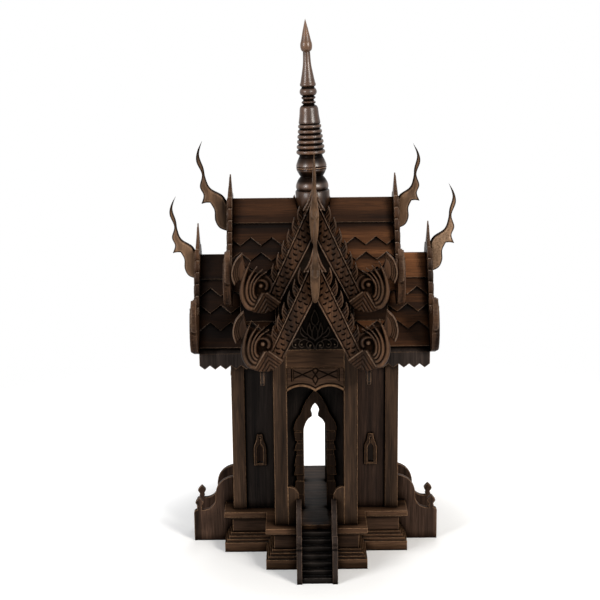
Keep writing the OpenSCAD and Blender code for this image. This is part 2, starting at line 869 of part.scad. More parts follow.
// A pair of bargeboards that meet at the apex, with raised borders and curled ends
module bargeboards(turn, ridge, over, gable, out, spike_h) {
    color(worn_teak)
        rotate([0, 0, turn])
            for (side = [0, 1])
                mirror([side, 0, 0])
                    translate([0, -gable, 0])
                        rotate([90, 0, 0]) {
                            linear_extrude(barge_t) barge_outline(ridge, over, out, spike_h);
                            body_borders(ridge, over, out);
                            translate([out, eye_z(ridge, over, out), 0]) curl_relief();
                        }
}

module lower_bargeboards(turn) {
    bargeboards(turn, lower_ridge, lower_body_over, lower_gable, eave_out - lower_curl_in, lower_spike_h);
}

module upper_bargeboards(turn) {
    bargeboards(turn, upper_ridge, upper_body_over, upper_gable, eave_out - upper_curl_in, upper_spike_h);
}

// Raised borders along both edges of the scaled body, clear of the finial at the apex
module body_borders(ridge, over, out) {
    start = horn_t / 2 + border_w;
    foot = [out, eye_z(ridge, over, out)] + BODY_FOOT * curl_r / 100;
    head = [0, ridge + over - body_depth];
    lap_x = out - 0.62 * curl_r;
    raised(border_w / 2, 0.5) {
        strip([
            [start, outer_z(ridge, over, start) - border_w],
            [lap_x, outer_z(ridge, over, lap_x) - border_w]
        ], border_w);
        strip([head + (foot - head) * start / foot[0] + [0, border_w], foot + [0, border_w]], border_w);
    }
}

// Relief that stands proud of the face of a bargeboard and is rooted at a share of its thickness
module raised(proud, root) {
    translate([0, 0, root * barge_t])
        linear_extrude((1 - root) * barge_t + proud) children();
}

// Relief of a curl: the raised sheaf with its strands, the cuff with its ribs, and the eye
module curl_relief() {
    eye = sized([[-3, 25]], curl_r)[0];
    raised(0.5 * curl_proud, 0.7) sheaf_outline(0.54, 2);
    raised(curl_proud, 0.6) strands(0.75);
    raised(0.66 * curl_proud, 0.5) cuff_outline();
    raised(0.8 * curl_proud, 0.4) {
        strip(sized([[-12, -10], [28, -76]], curl_r), border_w);
        strip(sized([[-30, -8], [-86, -50]], curl_r), border_w);
    }
    raised(0.6 * curl_proud, 0.3) translate(eye) circle(0.12 * curl_r);
}

// Three-cornered cuff between the body and the strands
module cuff_outline() {
    intersection() {
        hub_outline();
        polygon(sized([[-20, -5], [-6, -5], [34, -72], [34, -120], [-92, -120], [-92, -52]], curl_r));
    }
}

// Horn finial seen from the side, in hundredths of its height: x runs out from the bargeboard
// and y up from the foot; a full belly, a spur, and a neck that waves up to the point
module horn_outline(h) {
    polygon(concat(
        smooth(sized([[-1, 0], [16, 6], [24, 20], [25, 38], [32, 51]], h), 3),
        smooth(sized([[32, 51], [39, 51], [47, 49]], h), 3),
        smooth(sized([[47, 49], [43, 64], [49, 79], [45, 100], [54, 122], [52, 140], [43, 158]], h), 4),
        smooth(sized([[43, 158], [49, 134], [42, 111], [39, 94], [31, 76], [10, 63], [-1, 44]], h), 4),
        sized([[-1, 44]], h)
    ));
}

// Horn finial seen from the front: a full body under a blade that thins to the tip
module horn_front(h) {
    tip = 1.64 * h;
    half = smooth([
        [0.2 * horn_t, -cut], [0.38 * horn_t, 0.14 * h], [horn_t / 2, 0.36 * h],
        [horn_t / 2, 0.68 * h], [0.36 * horn_t, 0.85 * h], [0.27 * horn_t, 1.03 * h],
        [0.24 * horn_t, 1.23 * h], [horn_tip_t / 2, tip]
    ], 3);
    polygon(concat(half, [[horn_tip_t / 2, tip], [-horn_tip_t / 2, tip]], other_side(half)));
}

// How each horn was cut and set: its arm, the height of its foot over the ridge in hundredths of
// a full horn, its lean towards the roof and its share of a full horn
UPPER_HORNS = [[FRONT, -58, 2, 0.97], [RIGHT, -56, 5, 0.92], [BACK, -58, 2, 0.97], [LEFT, -58, 0, 1]];
LOWER_HORNS = [[FRONT, -44, 3, 0.95], [RIGHT, -35, 4, 0.97], [BACK, -44, 3, 0.95], [LEFT, -44, 2.5, 0.92]];

// Horn finials on the faces of the bargeboards at the apex
module finials(ridge, gable, horns) {
    color(worn_teak)
        for (horn = horns) {
            h = horn[3] * horn_h;
            rotate([0, 0, horn[0]])
                translate([0, -gable - barge_t, ridge + horn[1] * horn_h / 100])
                    intersection() {
                        rotate([90, 0, -90])
                            translate([0, 0, -horn_t])
                                linear_extrude(2 * horn_t)
                                    intersection() {
                                        rotate(horn[2]) horn_outline(h);
                                        translate([0, -cut]) square([far, far]);
                                    }
                        rotate([90, 0, 0])
                            linear_extrude(horn_h) horn_front(h);
                    }
        }
}

// A bead of the spire: a round edge at a radius and height on a solid core
module bead(r, z, bead_r) {
    translate([r - bead_r, z]) circle(bead_r);
    translate([0, z - bead_r]) square([r - bead_r, 2 * bead_r]);
}

// Turned outline of the spire over the ridge, with radii in tenths of the foot's radius and
// heights in hundredths of the spire's height
module spire_profile() {
    r = spire_r / 10;
    h = spire_h / 100;
    foot = -spire_r * tan(pitch);
    ring_count = 6;
    ring_z = 26.2 * h;
    ring_step = 2.88 * h;
    taper = 0.32;
    // Drum over the crossing, and two round knobs that meet at a waist
    turned([[10, foot / h], [9.7, 4.4]], r, h, 1);
    turned([[9, 4.2], [9.25, 6.2], [8.6, 9], [7.4, 11], [6.5, 12.4]], r, h, 4);
    turned([[6.5, 12.3], [7.5, 14.2], [8.7, 17.2], [8.5, 19], [7.4, 22], [6.8, 23.6]], r, h, 4);
    // Stack of rings on a tapering core
    turned([[6.8, 23.5], [6.8, 26.2]], r, h, 1);
    for (i = [0 : ring_count - 1]) {
        bead((8.1 - taper * i) * r, ring_z + i * ring_step, 1.15 * h);
        translate([0, ring_z + i * ring_step]) square([(7.3 - taper * i) * r, ring_step]);
    }
    // Bell, ringed neck, round bead and collar
    turned([[6.1, 41.8], [5.9, 43.5], [5.5, 46.7], [5.2, 50], [4.9, 51.3], [4.3, 52.2]], r, h, 3);
    turned([[3.4, 52.1], [3.4, 58.5]], r, h, 1);
    bead(3.9 * r, 54 * h, 0.6 * h);
    bead(3.9 * r, 56.6 * h, 0.6 * h);
    bead(4.8 * r, 59.9 * h, 1.8 * h);
    turned([[3.7, 60], [3.7, 64.5]], r, h, 1);
    bead(4.45 * r, 63.9 * h, 0.75 * h);
    // Cone, and the bud with the point
    turned([[4.2, 64.4], [3.3, 69.2], [2.3, 75.3], [2, 82]], r, h, 4);
    turned([[2, 81.9], [2.9, 83], [3.3, 84.8], [3.2, 86.6], [2.7, 88.4], [1.5, 94], [0, 100]], r, h, 3);
}

// A turned length of the spire from its axis out to a smooth line of radii and heights
module turned(line, r, h, steps) {
    outer = [for (p = concat(smooth(line, steps), [line[len(line) - 1]])) [p[0] * r, p[1] * h]];
    polygon(concat([[0, outer[0][1]]], outer, [[0, outer[len(outer) - 1][1]]]));
}

// Spire, saddled over the crossing of the upper ridges
module spire() {
    color(worn_teak)
        difference() {
            translate([0, 0, upper_ridge])
                rotate([0, -spire_lean, 0])
                    rotate_extrude() spire_profile();
            for (turn = [FRONT, RIGHT])
                rotate([0, 0, turn])
                    translate([0, far / 2, 0])
                        rotate([90, 0, 0])
                            linear_extrude(far)
                                polygon([
                                    [0, upper_ridge],
                                    [spire_r * 2, slope_z(upper_ridge, roof_n, spire_r * 2)],
                                    [-spire_r * 2, slope_z(upper_ridge, roof_n, spire_r * 2)]
                                ]);
        }
}

plinth_base();
plinth_waist();
plinth_cap();
stair(FRONT);  // front_stair
stair(RIGHT);  // right_stair
stair(BACK);  // back_stair
stair(LEFT);  // left_stair
strings(FRONT);  // front_strings
strings(RIGHT);  // right_strings
strings(BACK);  // back_strings
strings(LEFT);  // left_strings
porch_posts();
sill_panels();
corner_wall(FRONT);  // front_left_wall
corner_wall(RIGHT);  // front_right_wall
corner_wall(BACK);  // back_right_wall
corner_wall(LEFT);  // back_left_wall
niche_frames();
inner_wall(FRONT);  // front_inner_wall
inner_wall(RIGHT);  // right_inner_wall
inner_wall(BACK);  // back_inner_wall
inner_wall(LEFT);  // left_inner_wall
door_frames();
lintels();
pediments();
lower_roof(FRONT);  // front_lower_roof
lower_roof(RIGHT);  // right_lower_roof
lower_roof(BACK);  // back_lower_roof
lower_roof(LEFT);  // left_lower_roof
upper_roof(FRONT);  // front_upper_roof
upper_roof(RIGHT);  // right_upper_roof
upper_roof(BACK);  // back_upper_roof
upper_roof(LEFT);  // left_upper_roof
upper_gable_panels();
eaves_boards();
lower_bargeboards(FRONT);  // front_lower_bargeboards
lower_bargeboards(RIGHT);  // right_lower_bargeboards
lower_bargeboards(BACK);  // back_lower_bargeboards
lower_bargeboards(LEFT);  // left_lower_bargeboards
upper_bargeboards(FRONT);  // front_upper_bargeboards
upper_bargeboards(RIGHT);  // right_upper_bargeboards
upper_bargeboards(BACK);  // back_upper_bargeboards
upper_bargeboards(LEFT);  // left_upper_bargeboards
finials(lower_ridge, lower_gable, LOWER_HORNS);  // lower_finials
finials(upper_ridge, upper_gable, UPPER_HORNS);  // upper_finials
spire();
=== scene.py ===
import math

import bpy
import numpy as np
from mathutils import Matrix, Vector
from mathutils.geometry import delaunay_2d_cdt


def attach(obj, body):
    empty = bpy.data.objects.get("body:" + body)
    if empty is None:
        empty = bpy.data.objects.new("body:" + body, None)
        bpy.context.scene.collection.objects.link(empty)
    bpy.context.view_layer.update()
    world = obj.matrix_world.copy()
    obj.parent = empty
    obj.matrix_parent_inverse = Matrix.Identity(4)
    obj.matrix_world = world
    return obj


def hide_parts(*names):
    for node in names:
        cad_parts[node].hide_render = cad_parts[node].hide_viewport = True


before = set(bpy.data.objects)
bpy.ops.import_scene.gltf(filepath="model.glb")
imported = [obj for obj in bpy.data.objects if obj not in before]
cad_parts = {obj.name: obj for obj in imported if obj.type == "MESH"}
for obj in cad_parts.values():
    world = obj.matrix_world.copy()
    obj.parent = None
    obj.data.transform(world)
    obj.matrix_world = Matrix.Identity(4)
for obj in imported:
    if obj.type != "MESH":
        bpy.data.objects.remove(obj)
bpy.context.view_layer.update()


# Plinth: three stacked crosses of solid teak, a slab below, a waist with stepped
# fillets and a flat cap. They are glued and pegged, stained dark and wiped, so that
# the edges have rubbed through to a paler brown.

MM = 0.001


def add_node(tree, kind, inputs, **settings):
    """Adds a shader node with its settings, and with its inputs set or joined to other nodes."""
    made = tree.nodes.new(kind)
    for key, value in settings.items():
        setattr(made, key, value)
    for key, value in inputs.items():
        if isinstance(value, bpy.types.NodeSocket):
            tree.links.new(value, made.inputs[key])
        else:
            made.inputs[key].default_value = value
    return made


def stained_teak(name, grain, deep, brown, edge, gloss=0.5, shine=0.06, shade=0.92,
                 pitted=0.35, shade_and_tone=None, seed=0.0):
    """Stained wood with streaks along an axis, worn edges and painted shade in corners and creases. A
    factor, where one is given, scales its colour at each place. A mesh with a tone has dark cuts, partly
    stain and partly painted shade, where that is below nothing, and paler wood, partly wear and partly
    painted highlight, above."""
    material = bpy.data.materials.new(name)
    material.use_nodes = True
    tree = material.node_tree
    shader = tree.nodes["Principled BSDF"]

    def put(kind, inputs, **settings):
        return add_node(tree, kind, inputs, **settings)

    def ranged(value, low, high, to_low, to_high):
        return put("ShaderNodeMapRange", {"Value": value, "From Min": low, "From Max": high,
                                          "To Min": to_low, "To Max": to_high}).outputs["Result"]

    def scaled(colour, amount):
        return put("ShaderNodeVectorMath", {0: colour, "Scale": amount}, operation="SCALE").outputs["Vector"]

    where = put("ShaderNodeTexCoord", {}).outputs["Object"]
    long, across = 20.0, 420.0
    stretch = [long if axis == grain else across for axis in "XYZ"]
    laid = put("ShaderNodeMapping", {"Vector": where, "Scale": stretch,
                                     "Location": (seed, 1.7 * seed, 0.6 * seed)})
    streaks = put("ShaderNodeTexNoise", {"Vector": laid.outputs["Vector"], "Scale": 1.0, "Detail": 5.0,
                                         "Roughness": 0.62, "Distortion": 0.7}).outputs["Fac"]
    drawn = put("ShaderNodeMapping", {"Vector": laid.outputs["Vector"], "Scale": (0.09,) * 3})
    clouds = put("ShaderNodeTexNoise", {"Vector": drawn.outputs["Vector"], "Scale": 1.0, "Detail": 3.0,
                                        "Roughness": 0.6, "Distortion": 0.4}).outputs["Fac"]
    specks = put("ShaderNodeTexNoise", {"Vector": where, "Scale": 310.0, "Detail": 3.0,
                                        "Roughness": 0.7}).outputs["Fac"]

    # Streaks from the dark stain to the brown wood, wiped thin in cloudy patches
    wood = put("ShaderNodeValToRGB", {"Fac": streaks})
    wood.color_ramp.elements[0].position = 0.22
    wood.color_ramp.elements[0].color = (*deep, 1.0)
    wood.color_ramp.elements[1].position = 0.74
    wood.color_ramp.elements[1].color = (*brown, 1.0)
    wiped = scaled(wood.outputs["Color"], ranged(clouds, 0.32, 0.70, 0.34, 1.9))
    if shade_and_tone:
        wiped = scaled(wiped, shade_and_tone(put, ranged, where))

    # Worn edges, and raised parts paler where the tone is above nothing: partly wear and partly a painted
    # highlight
    rounded = put("ShaderNodeBevel", {"Radius": 2.1 * MM}, samples=5).outputs["Normal"]
    faces = put("ShaderNodeNewGeometry", {}).outputs["Normal"]
    turn = put("ShaderNodeVectorMath", {0: rounded, 1: faces}, operation="DOT_PRODUCT").outputs["Value"]
    corner = ranged(turn, 0.985, 0.80, 0.0, 1.0)
    tone = put("ShaderNodeAttribute", {}, attribute_name="tone").outputs["Fac"]
    wear_and_highlight = put("ShaderNodeMath", {0: corner, 1: ranged(tone, 0.0, 1.0, 0.0, 1.0)},
               operation="MAXIMUM").outputs["Value"]
    patchy = ranged(specks, 0.36, 0.60, 0.35, 1.0)
    patchy_wear_and_highlight = put("ShaderNodeMath", {0: wear_and_highlight, 1: patchy}, operation="MULTIPLY").outputs["Value"]
    worn_and_highlit = put("ShaderNodeMix", {0: patchy_wear_and_highlight, 6: wiped, 7: (*edge, 1.0)}, data_type="RGBA").outputs[2]

    # Painted shade in corners and creases, as deep as they are closed in; in cuts, where the tone is below
    # nothing, partly stain and partly painted shade
    open_air = put("ShaderNodeAmbientOcclusion", {"Distance": 17 * MM}, samples=8).outputs["AO"]
    corner_shade = ranged(open_air, 0.42, 0.96, 1.0 - shade, 1.0)
    crease = put("ShaderNodeAmbientOcclusion", {"Distance": 3.5 * MM}, samples=8).outputs["AO"]
    lines = ranged(crease, 0.50, 0.92, 0.22, 1.0)
    cuts = ranged(tone, -1.0, 0.0, 0.04, 1.0)
    settled = scaled(scaled(scaled(worn_and_highlit, corner_shade), lines), cuts)

    pores = put("ShaderNodeMath", {0: streaks, 1: specks}, operation="ADD").outputs["Value"]
    relief = put("ShaderNodeBump", {"Strength": pitted, "Distance": 0.5 * MM, "Height": pores,
                                    "Normal": rounded})
    tree.links.new(settled, shader.inputs["Base Color"])
    tree.links.new(ranged(streaks, 0.25, 0.75, gloss + 0.12, gloss - 0.06), shader.inputs["Roughness"])
    polish = put("ShaderNodeMath", {0: ranged(open_air, 0.60, 0.97, 0.0, shine),
                                    1: ranged(patchy_wear_and_highlight, 0.2, 1.0, 0.0, 0.35)}, operation="ADD").outputs["Value"]
    polish = put("ShaderNodeMath", {0: polish, 1: cuts}, operation="MULTIPLY").outputs["Value"]
    tree.links.new(polish, shader.inputs["Specular IOR Level"])
    tree.links.new(relief.outputs["Normal"], shader.inputs["Normal"])
    return material


def finish_node(name, material):
    """Puts a finish on a piece of the frame."""
    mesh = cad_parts[name].data
    mesh.materials.clear()
    mesh.materials.append(material)


DEEP = (0.0090, 0.0048, 0.0030)
BROWN = (0.084, 0.0440, 0.0240)
EDGE = (0.330, 0.180, 0.088)
plinth_wood = stained_teak("plinth wood", "X", DEEP, BROWN, EDGE, seed=1.0)
waist_wood = stained_teak("plinth waist wood", "X", DEEP, (0.050, 0.027, 0.016), EDGE, seed=2.0)
finish_node("plinth_base", plinth_wood)
finish_node("plinth_cap", plinth_wood)
finish_node("plinth_waist", waist_wood)


# Stairs: one stepped block on each side, with the dark treads set between two sawn
# strings whose swept feet and turned-looking buds are shaped by hand.

ARMS = ("front", "right", "back", "left")
tread_wood = stained_teak("tread wood", "X", (0.009, 0.0078, 0.007), (0.027, 0.0215, 0.0185),
                          (0.07, 0.053, 0.043), shine=0.08, seed=3.0)
string_wood = stained_teak("string wood", "Z", DEEP, (0.060, 0.034, 0.023), EDGE, seed=4.0)
dark_string_wood = stained_teak("dark string wood", "Z", DEEP, (0.026, 0.0195, 0.017), (0.17, 0.105, 0.066),
                                seed=18.0)
for arm in ARMS:
    finish_node(arm + "_stair", tread_wood)
    finish_node(arm + "_strings", dark_string_wood if arm in ("front", "back") else string_wood)


# Porch posts and sill panels: square posts at the ends of the arms with the grain
# upright, and low boards between the posts and the stairs.

post_wood = stained_teak("post wood", "Z", (0.008, 0.0055, 0.0042), (0.050, 0.028, 0.0165), EDGE, seed=5.0)
panel_wood = stained_teak("panel wood", "Z", DEEP, (0.042, 0.024, 0.014), EDGE, seed=6.0)
finish_node("porch_posts", post_wood)
finish_node("sill_panels", panel_wood)


# Corner walls with the small windows: upright boards, each pierced by a window with a
# raised frame that is planted on.

wall_wood = stained_teak("wall wood", "Z", (0.004, 0.003, 0.0027), (0.034, 0.019, 0.013), EDGE, seed=7.0)
# Painted shade: a darker copy of the wall finish for the front left and back right corner walls and the
# inner walls in the porches
shaded_wall_wood = stained_teak("shaded wall wood", "Z", (0.003, 0.0025, 0.0022), (0.020, 0.014, 0.0115), EDGE,
                              seed=17.0)
frame_wood = stained_teak("window frame wood", "Z", DEEP, (0.040, 0.022, 0.013), EDGE, seed=8.0)
for wall in ("front_left", "back_right"):
    finish_node(wall + "_wall", shaded_wall_wood)
for wall in ("front_right", "back_left"):
    finish_node(wall + "_wall", wall_wood)
finish_node("niche_frames", frame_wood)


# Inner walls and door frames: boards across the roots of the arms, with a pointed
# doorway framed by moulded jambs.

# The inner walls in the porches get the copy with painted shade
for arm in ARMS:
    finish_node(arm + "_inner_wall", shaded_wall_wood)
finish_node("door_frames", frame_wood)


# Lintels and pediments: tie beams with an incised frieze over two shallow arches, and
# dark gable boards above them.

beam_wood = stained_teak("beam wood", "X", DEEP, (0.076, 0.040, 0.022), EDGE, seed=9.0)
# The gable boards and upper gable panels are very dark: partly their stain and partly painted shade under
# the overhanging roofs
gable_wood = stained_teak("gable wood", "X", (0.004, 0.003, 0.0025), (0.018, 0.011, 0.007), EDGE, seed=10.0)
finish_node("lintels", beam_wood)
finish_node("pediments", gable_wood)
finish_node("upper_gable_panels", gable_wood)


# Roofs: lapped boards with zigzag lower edges on a thin deck, a straight board along
# each ridge, and toothed boards under the eaves.

LOWER_RIDGE, UPPER_RIDGE = 510.94, 606.94
PITCH = math.radians(55)
DECK_T, LAP_T, LAPS_UP = 16.0, 2.5, 8.5
LOWER_TEETH, UPPER_TEETH = (72.75, 15.25), (74.75, 13.25)
EAVES_DARK, EAVES_CLEAR = 0.45, 0.475


def lapped_boards(grain, ridge, teeth, ridge_brightness, rows_brightness, shaded_eaves):
    """How bright lapped boards are: a painted shadow darkens each just under the teeth of the board above,
    and it is at full brightness at its own teeth. The teeth give how far out from the ridge the first row
    lies, and how much less each row above it does."""
    first_out, out_step = teeth[0] * MM, teeth[1] * MM
    sin, cos = math.sin(PITCH), math.cos(PITCH)
    lap_t = LAP_T * MM
    lie = (DECK_T - ridge * cos - LAPS_UP) * MM

    def shade_and_tone(put, ranged, where):
        part = put("ShaderNodeSeparateXYZ", {"Vector": where})
        out = put("ShaderNodeMath", {0: part.outputs["X" if grain == "Y" else "Y"]},
                  operation="ABSOLUTE").outputs["Value"]

        def blend(a, b, c):
            first = put("ShaderNodeMath", {0: out, 1: a, 2: c}, operation="MULTIPLY_ADD").outputs["Value"]
            return put("ShaderNodeMath", {0: part.outputs["Z"], 1: b, 2: first},
                       operation="MULTIPLY_ADD").outputs["Value"]

        # Which board a point lies on, counted up from the eaves, and its distance out from the teeth above
        board = blend(sin / lap_t, cos / lap_t, lie / lap_t)
        below = blend(1 + out_step * sin / lap_t, out_step * cos / lap_t,
                      out_step * lie / lap_t + out_step - first_out)
        # Painted shadow: each board is darkened just under the teeth of the board above
        under_teeth_shade = ranged(below, -7 * MM, 5 * MM, 0.12 * rows_brightness, rows_brightness)
        on_ridge = ranged(board, 2.4, 2.6, 0.0, 1.0)
        brightness = put("ShaderNodeMix", {0: on_ridge, 2: under_teeth_shade, 3: ridge_brightness}).outputs[0]
        # Painted shade: the lowest rows of the lower roofs are darkened towards the eaves
        if shaded_eaves:
            shaded = ranged(part.outputs["Z"], EAVES_DARK, EAVES_CLEAR, 0.5, 1.0)
            brightness = put("ShaderNodeMath", {0: brightness, 1: shaded}, operation="MULTIPLY").outputs["Value"]
        return brightness

    return shade_and_tone


ROOF_DEEP, ROOF_BROWN, ROOF_EDGE = (0.016, 0.007, 0.0035), (0.070, 0.0275, 0.0105), (0.240, 0.145, 0.085)
# Brightness of the lower ridge boards, the lower rows, the upper ridge boards and the upper rows: partly the
# wood's own tone and partly painted light, the right arm painted lit and the left in shade
ROOF_BRIGHTNESS = {"front": (1.6, 1.6, 0.6, 1.0), "right": (2.8, 2.0, 0.65, 1.9),
             "back": (1.6, 1.6, 0.6, 1.0), "left": (0.18, 0.45, 0.48, 0.6)}
for k, arm in enumerate(ARMS):
    grain = "Y" if arm in ("front", "back") else "X"
    low_ridge, low_rows, high_ridge, high_rows = ROOF_BRIGHTNESS[arm]
    lower_laps = lapped_boards(grain, LOWER_RIDGE, LOWER_TEETH, low_ridge, low_rows, True)
    upper_laps = lapped_boards(grain, UPPER_RIDGE, UPPER_TEETH, high_ridge, high_rows, False)
    lower_wood = stained_teak(arm + " lower roof wood", grain, ROOF_DEEP, ROOF_BROWN, ROOF_EDGE,
                              shade_and_tone=lower_laps, seed=11.0 + 5 * k)
    upper_wood = stained_teak(arm + " upper roof wood", grain, ROOF_DEEP, ROOF_BROWN, ROOF_EDGE,
                              shade_and_tone=upper_laps, seed=12.0 + 5 * k)
    finish_node(arm + "_lower_roof", lower_wood)
    finish_node(arm + "_upper_roof", upper_wood)
eaves_wood = stained_teak("eaves wood", "Z", (0.005, 0.004, 0.0035), (0.033, 0.0235, 0.0195), EDGE,
                          seed=20.0)
finish_node("eaves_boards", eaves_wood)


# Bargeboards: each gable carries a pair of serpent boards, sawn to the outline and carved
# from the face with gouges: a scaled body between raised borders, flames along the back,
# and at the foot a curl of rounded strands with a cuff, an eye and a crest leaf.

SLOPE = math.radians(65.2)
BOARD_T = 7.0
BODY_DEPTH = 68.0
CURL_R = 36.0
FLAME_H = 29.0
FLAME_STEP = 18.5
BORDER_W = 2.4


def smooth_line(points, steps):
    """A smooth line through the points."""
    p = np.asarray(points, float)
    line = []
    for i in range(len(p) - 1):
        a, b, c, d = p[max(i - 1, 0)], p[i], p[i + 1], p[min(i + 2, len(p) - 1)]
        for k in range(steps):
            t = k / steps
            line.append(b + (c - a) * t / 2 + (2 * a - 5 * b + 4 * c - d) * t * t / 2
                        + (3 * b - a - 3 * c + d) * t ** 3 / 2)
    line.append(p[-1])
    return np.array(line)


def along_line(line, points):
    """Distance of each point from a line, and how far along the line its foot lies, from 0 to 1."""
    a, d = line[:-1], np.diff(line, axis=0)
    size = np.maximum((d * d).sum(1), 1e-12)
    rel = points[:, None, :] - a[None]
    t = np.clip((rel * d).sum(2) / size, 0, 1)
    gap = np.linalg.norm(rel - t[..., None] * d, axis=2)
    near = gap.argmin(1)
    row = np.arange(len(points))
    reach = np.sqrt(size)
    start = np.concatenate([[0], np.cumsum(reach)[:-1]])
    return gap[row, near], (start[near] + t[row, near] * reach[near]) / reach.sum()


def within(outline, points):
    """Whether each point lies inside a closed outline."""
    a = outline
    b = np.roll(outline, -1, axis=0)
    x, y = points[:, :1], points[:, 1:]
    crossing = (a[:, 1] > y) != (b[:, 1] > y)
    rise = np.where(np.abs(b[:, 1] - a[:, 1]) < 1e-12, 1e-12, b[:, 1] - a[:, 1])
    left = x < (b[:, 0] - a[:, 0]) * (y - a[:, 1]) / rise + a[:, 0]
    return (crossing & left).sum(1) % 2 == 1


def closed(outline):
    """The outline with its first point again at the end."""
    return np.vstack([outline, outline[:1]])


def finely(outline, step):
    """The closed outline with points added so that no span is longer than the step."""
    fine = []
    for a, b in zip(outline, np.roll(outline, -1, axis=0)):
        count = max(1, int(math.ceil(np.linalg.norm(b - a) / step)))
        fine += [a + (b - a) * k / count for k in range(count)]
    return np.array(fine)


def sheet(outlines, step):
    """Points and triangles that fill the union of the outlines, and the edges of its rim."""
    rings = [finely(outline, step) for outline in outlines]
    low = np.min([r.min(0) for r in rings], axis=0)
    high = np.max([r.max(0) for r in rings], axis=0)
    rows = np.arange(low[1], high[1], step * 0.866)
    grid = np.array([(x, y) for i, y in enumerate(rows)
                     for x in np.arange(low[0] + (i % 2) * step / 2, high[0], step)])
    inside = np.zeros(len(grid), bool)
    clear = np.full(len(grid), 1e9)
    for ring in rings:
        inside |= within(ring, grid)
        clear = np.minimum(clear, along_line(closed(ring), grid)[0])
    grid = grid[inside & (clear > 0.5 * step)]
    points, faces = [], []
    for ring in rings:
        faces.append(list(range(len(points), len(points) + len(ring))))
        points += [Vector(p) for p in ring]
    points += [Vector(p) for p in grid]
    flat, _, tris, _, _, _ = delaunay_2d_cdt(points, [], faces, 1, 1e-4)
    flat = np.array([(v[0], v[1]) for v in flat])
    tris = np.array(tris)
    spans = np.concatenate([tris[:, [0, 1]], tris[:, [1, 2]], tris[:, [2, 0]]])
    keys = np.sort(spans, axis=1)
    _, first, uses = np.unique(keys, axis=0, return_index=True, return_counts=True)
    return flat, tris, spans[first[uses == 1]]


def from_rim(flat, rim):
    """Distance of each point from the rim of a sheet."""
    a, b = flat[rim[:, 0]], flat[rim[:, 1]]
    span = b - a
    size = np.maximum((span * span).sum(1), 1e-9)
    away = np.empty(len(flat))
    for block in range(0, len(flat), 4000):
        part = flat[block:block + 4000, None]
        t = np.clip(((part - a) * span).sum(2) / size, 0, 1)
        away[block:block + 4000] = np.linalg.norm(part - a - t[..., None] * span, axis=2).min(1)
    return away


def swell(distance, half):
    """Rounded ridge: one on its middle line and nothing beyond its half width."""
    return np.sqrt(np.clip(1 - (distance / half) ** 2, 0, 1))


def rise(value, low, high):
    """Smooth step from nothing at the low value to one at the high one."""
    t = np.clip((value - low) / (high - low), 0, 1)
    return t * t * (3 - 2 * t)


def from_eye(points):
    """Points given from the eye in hundredths of the curl's radius."""
    return np.array(points, float) * CURL_R / 100


OUTER_STRAND = from_eye([[22, -80], [53, -75], [72, -51], [82, -19], [82, 17], [75, 56], [64, 89],
                         [47, 128]])
INNER_STRAND = from_eye([[11, -33], [21, -26], [28, -14], [30, 3], [28, 25], [18, 47], [-3, 71],
                         [-33, 86]])
CREST_BACK = from_eye([[115, 26], [126, 52], [129, 83], [121, 119], [105, 147], [79, 172]])
CREST = np.vstack([
    from_eye([[70, 28], [93, 50]]),
    smooth_line(from_eye([[93, 50], [106, 36], [115, 26]]), 3),
    smooth_line(CREST_BACK, 4)[1:],
    smooth_line(from_eye([[79, 172], [76, 147], [69, 122], [58, 96]]), 3)[1:],
])
CUFF = from_eye([[-20, -5], [-6, -5], [34, -72], [34, -100], [-92, -100], [-92, -52]])
EYE = from_eye([[-3, 25]])[0]


# Each strand's place between the guide lines and its half width, in spaces between strands
STRANDS = [(0.05, 0.62), (1.25, 0.50), (2.15, 0.38), (2.9, 0.36)]


def strand_line(i):
    """Line of a strand that lies i spaces in from the outer one."""
    return smooth_line(OUTER_STRAND + (INNER_STRAND - OUTER_STRAND) * i / 3, 4)


def disc(centre, radius):
    """Outline of a round."""
    angles = np.radians(np.linspace(-180, 180, 73)[:-1])
    return np.stack([centre[0] + radius * np.cos(angles), centre[1] + radius * np.sin(angles)], 1)


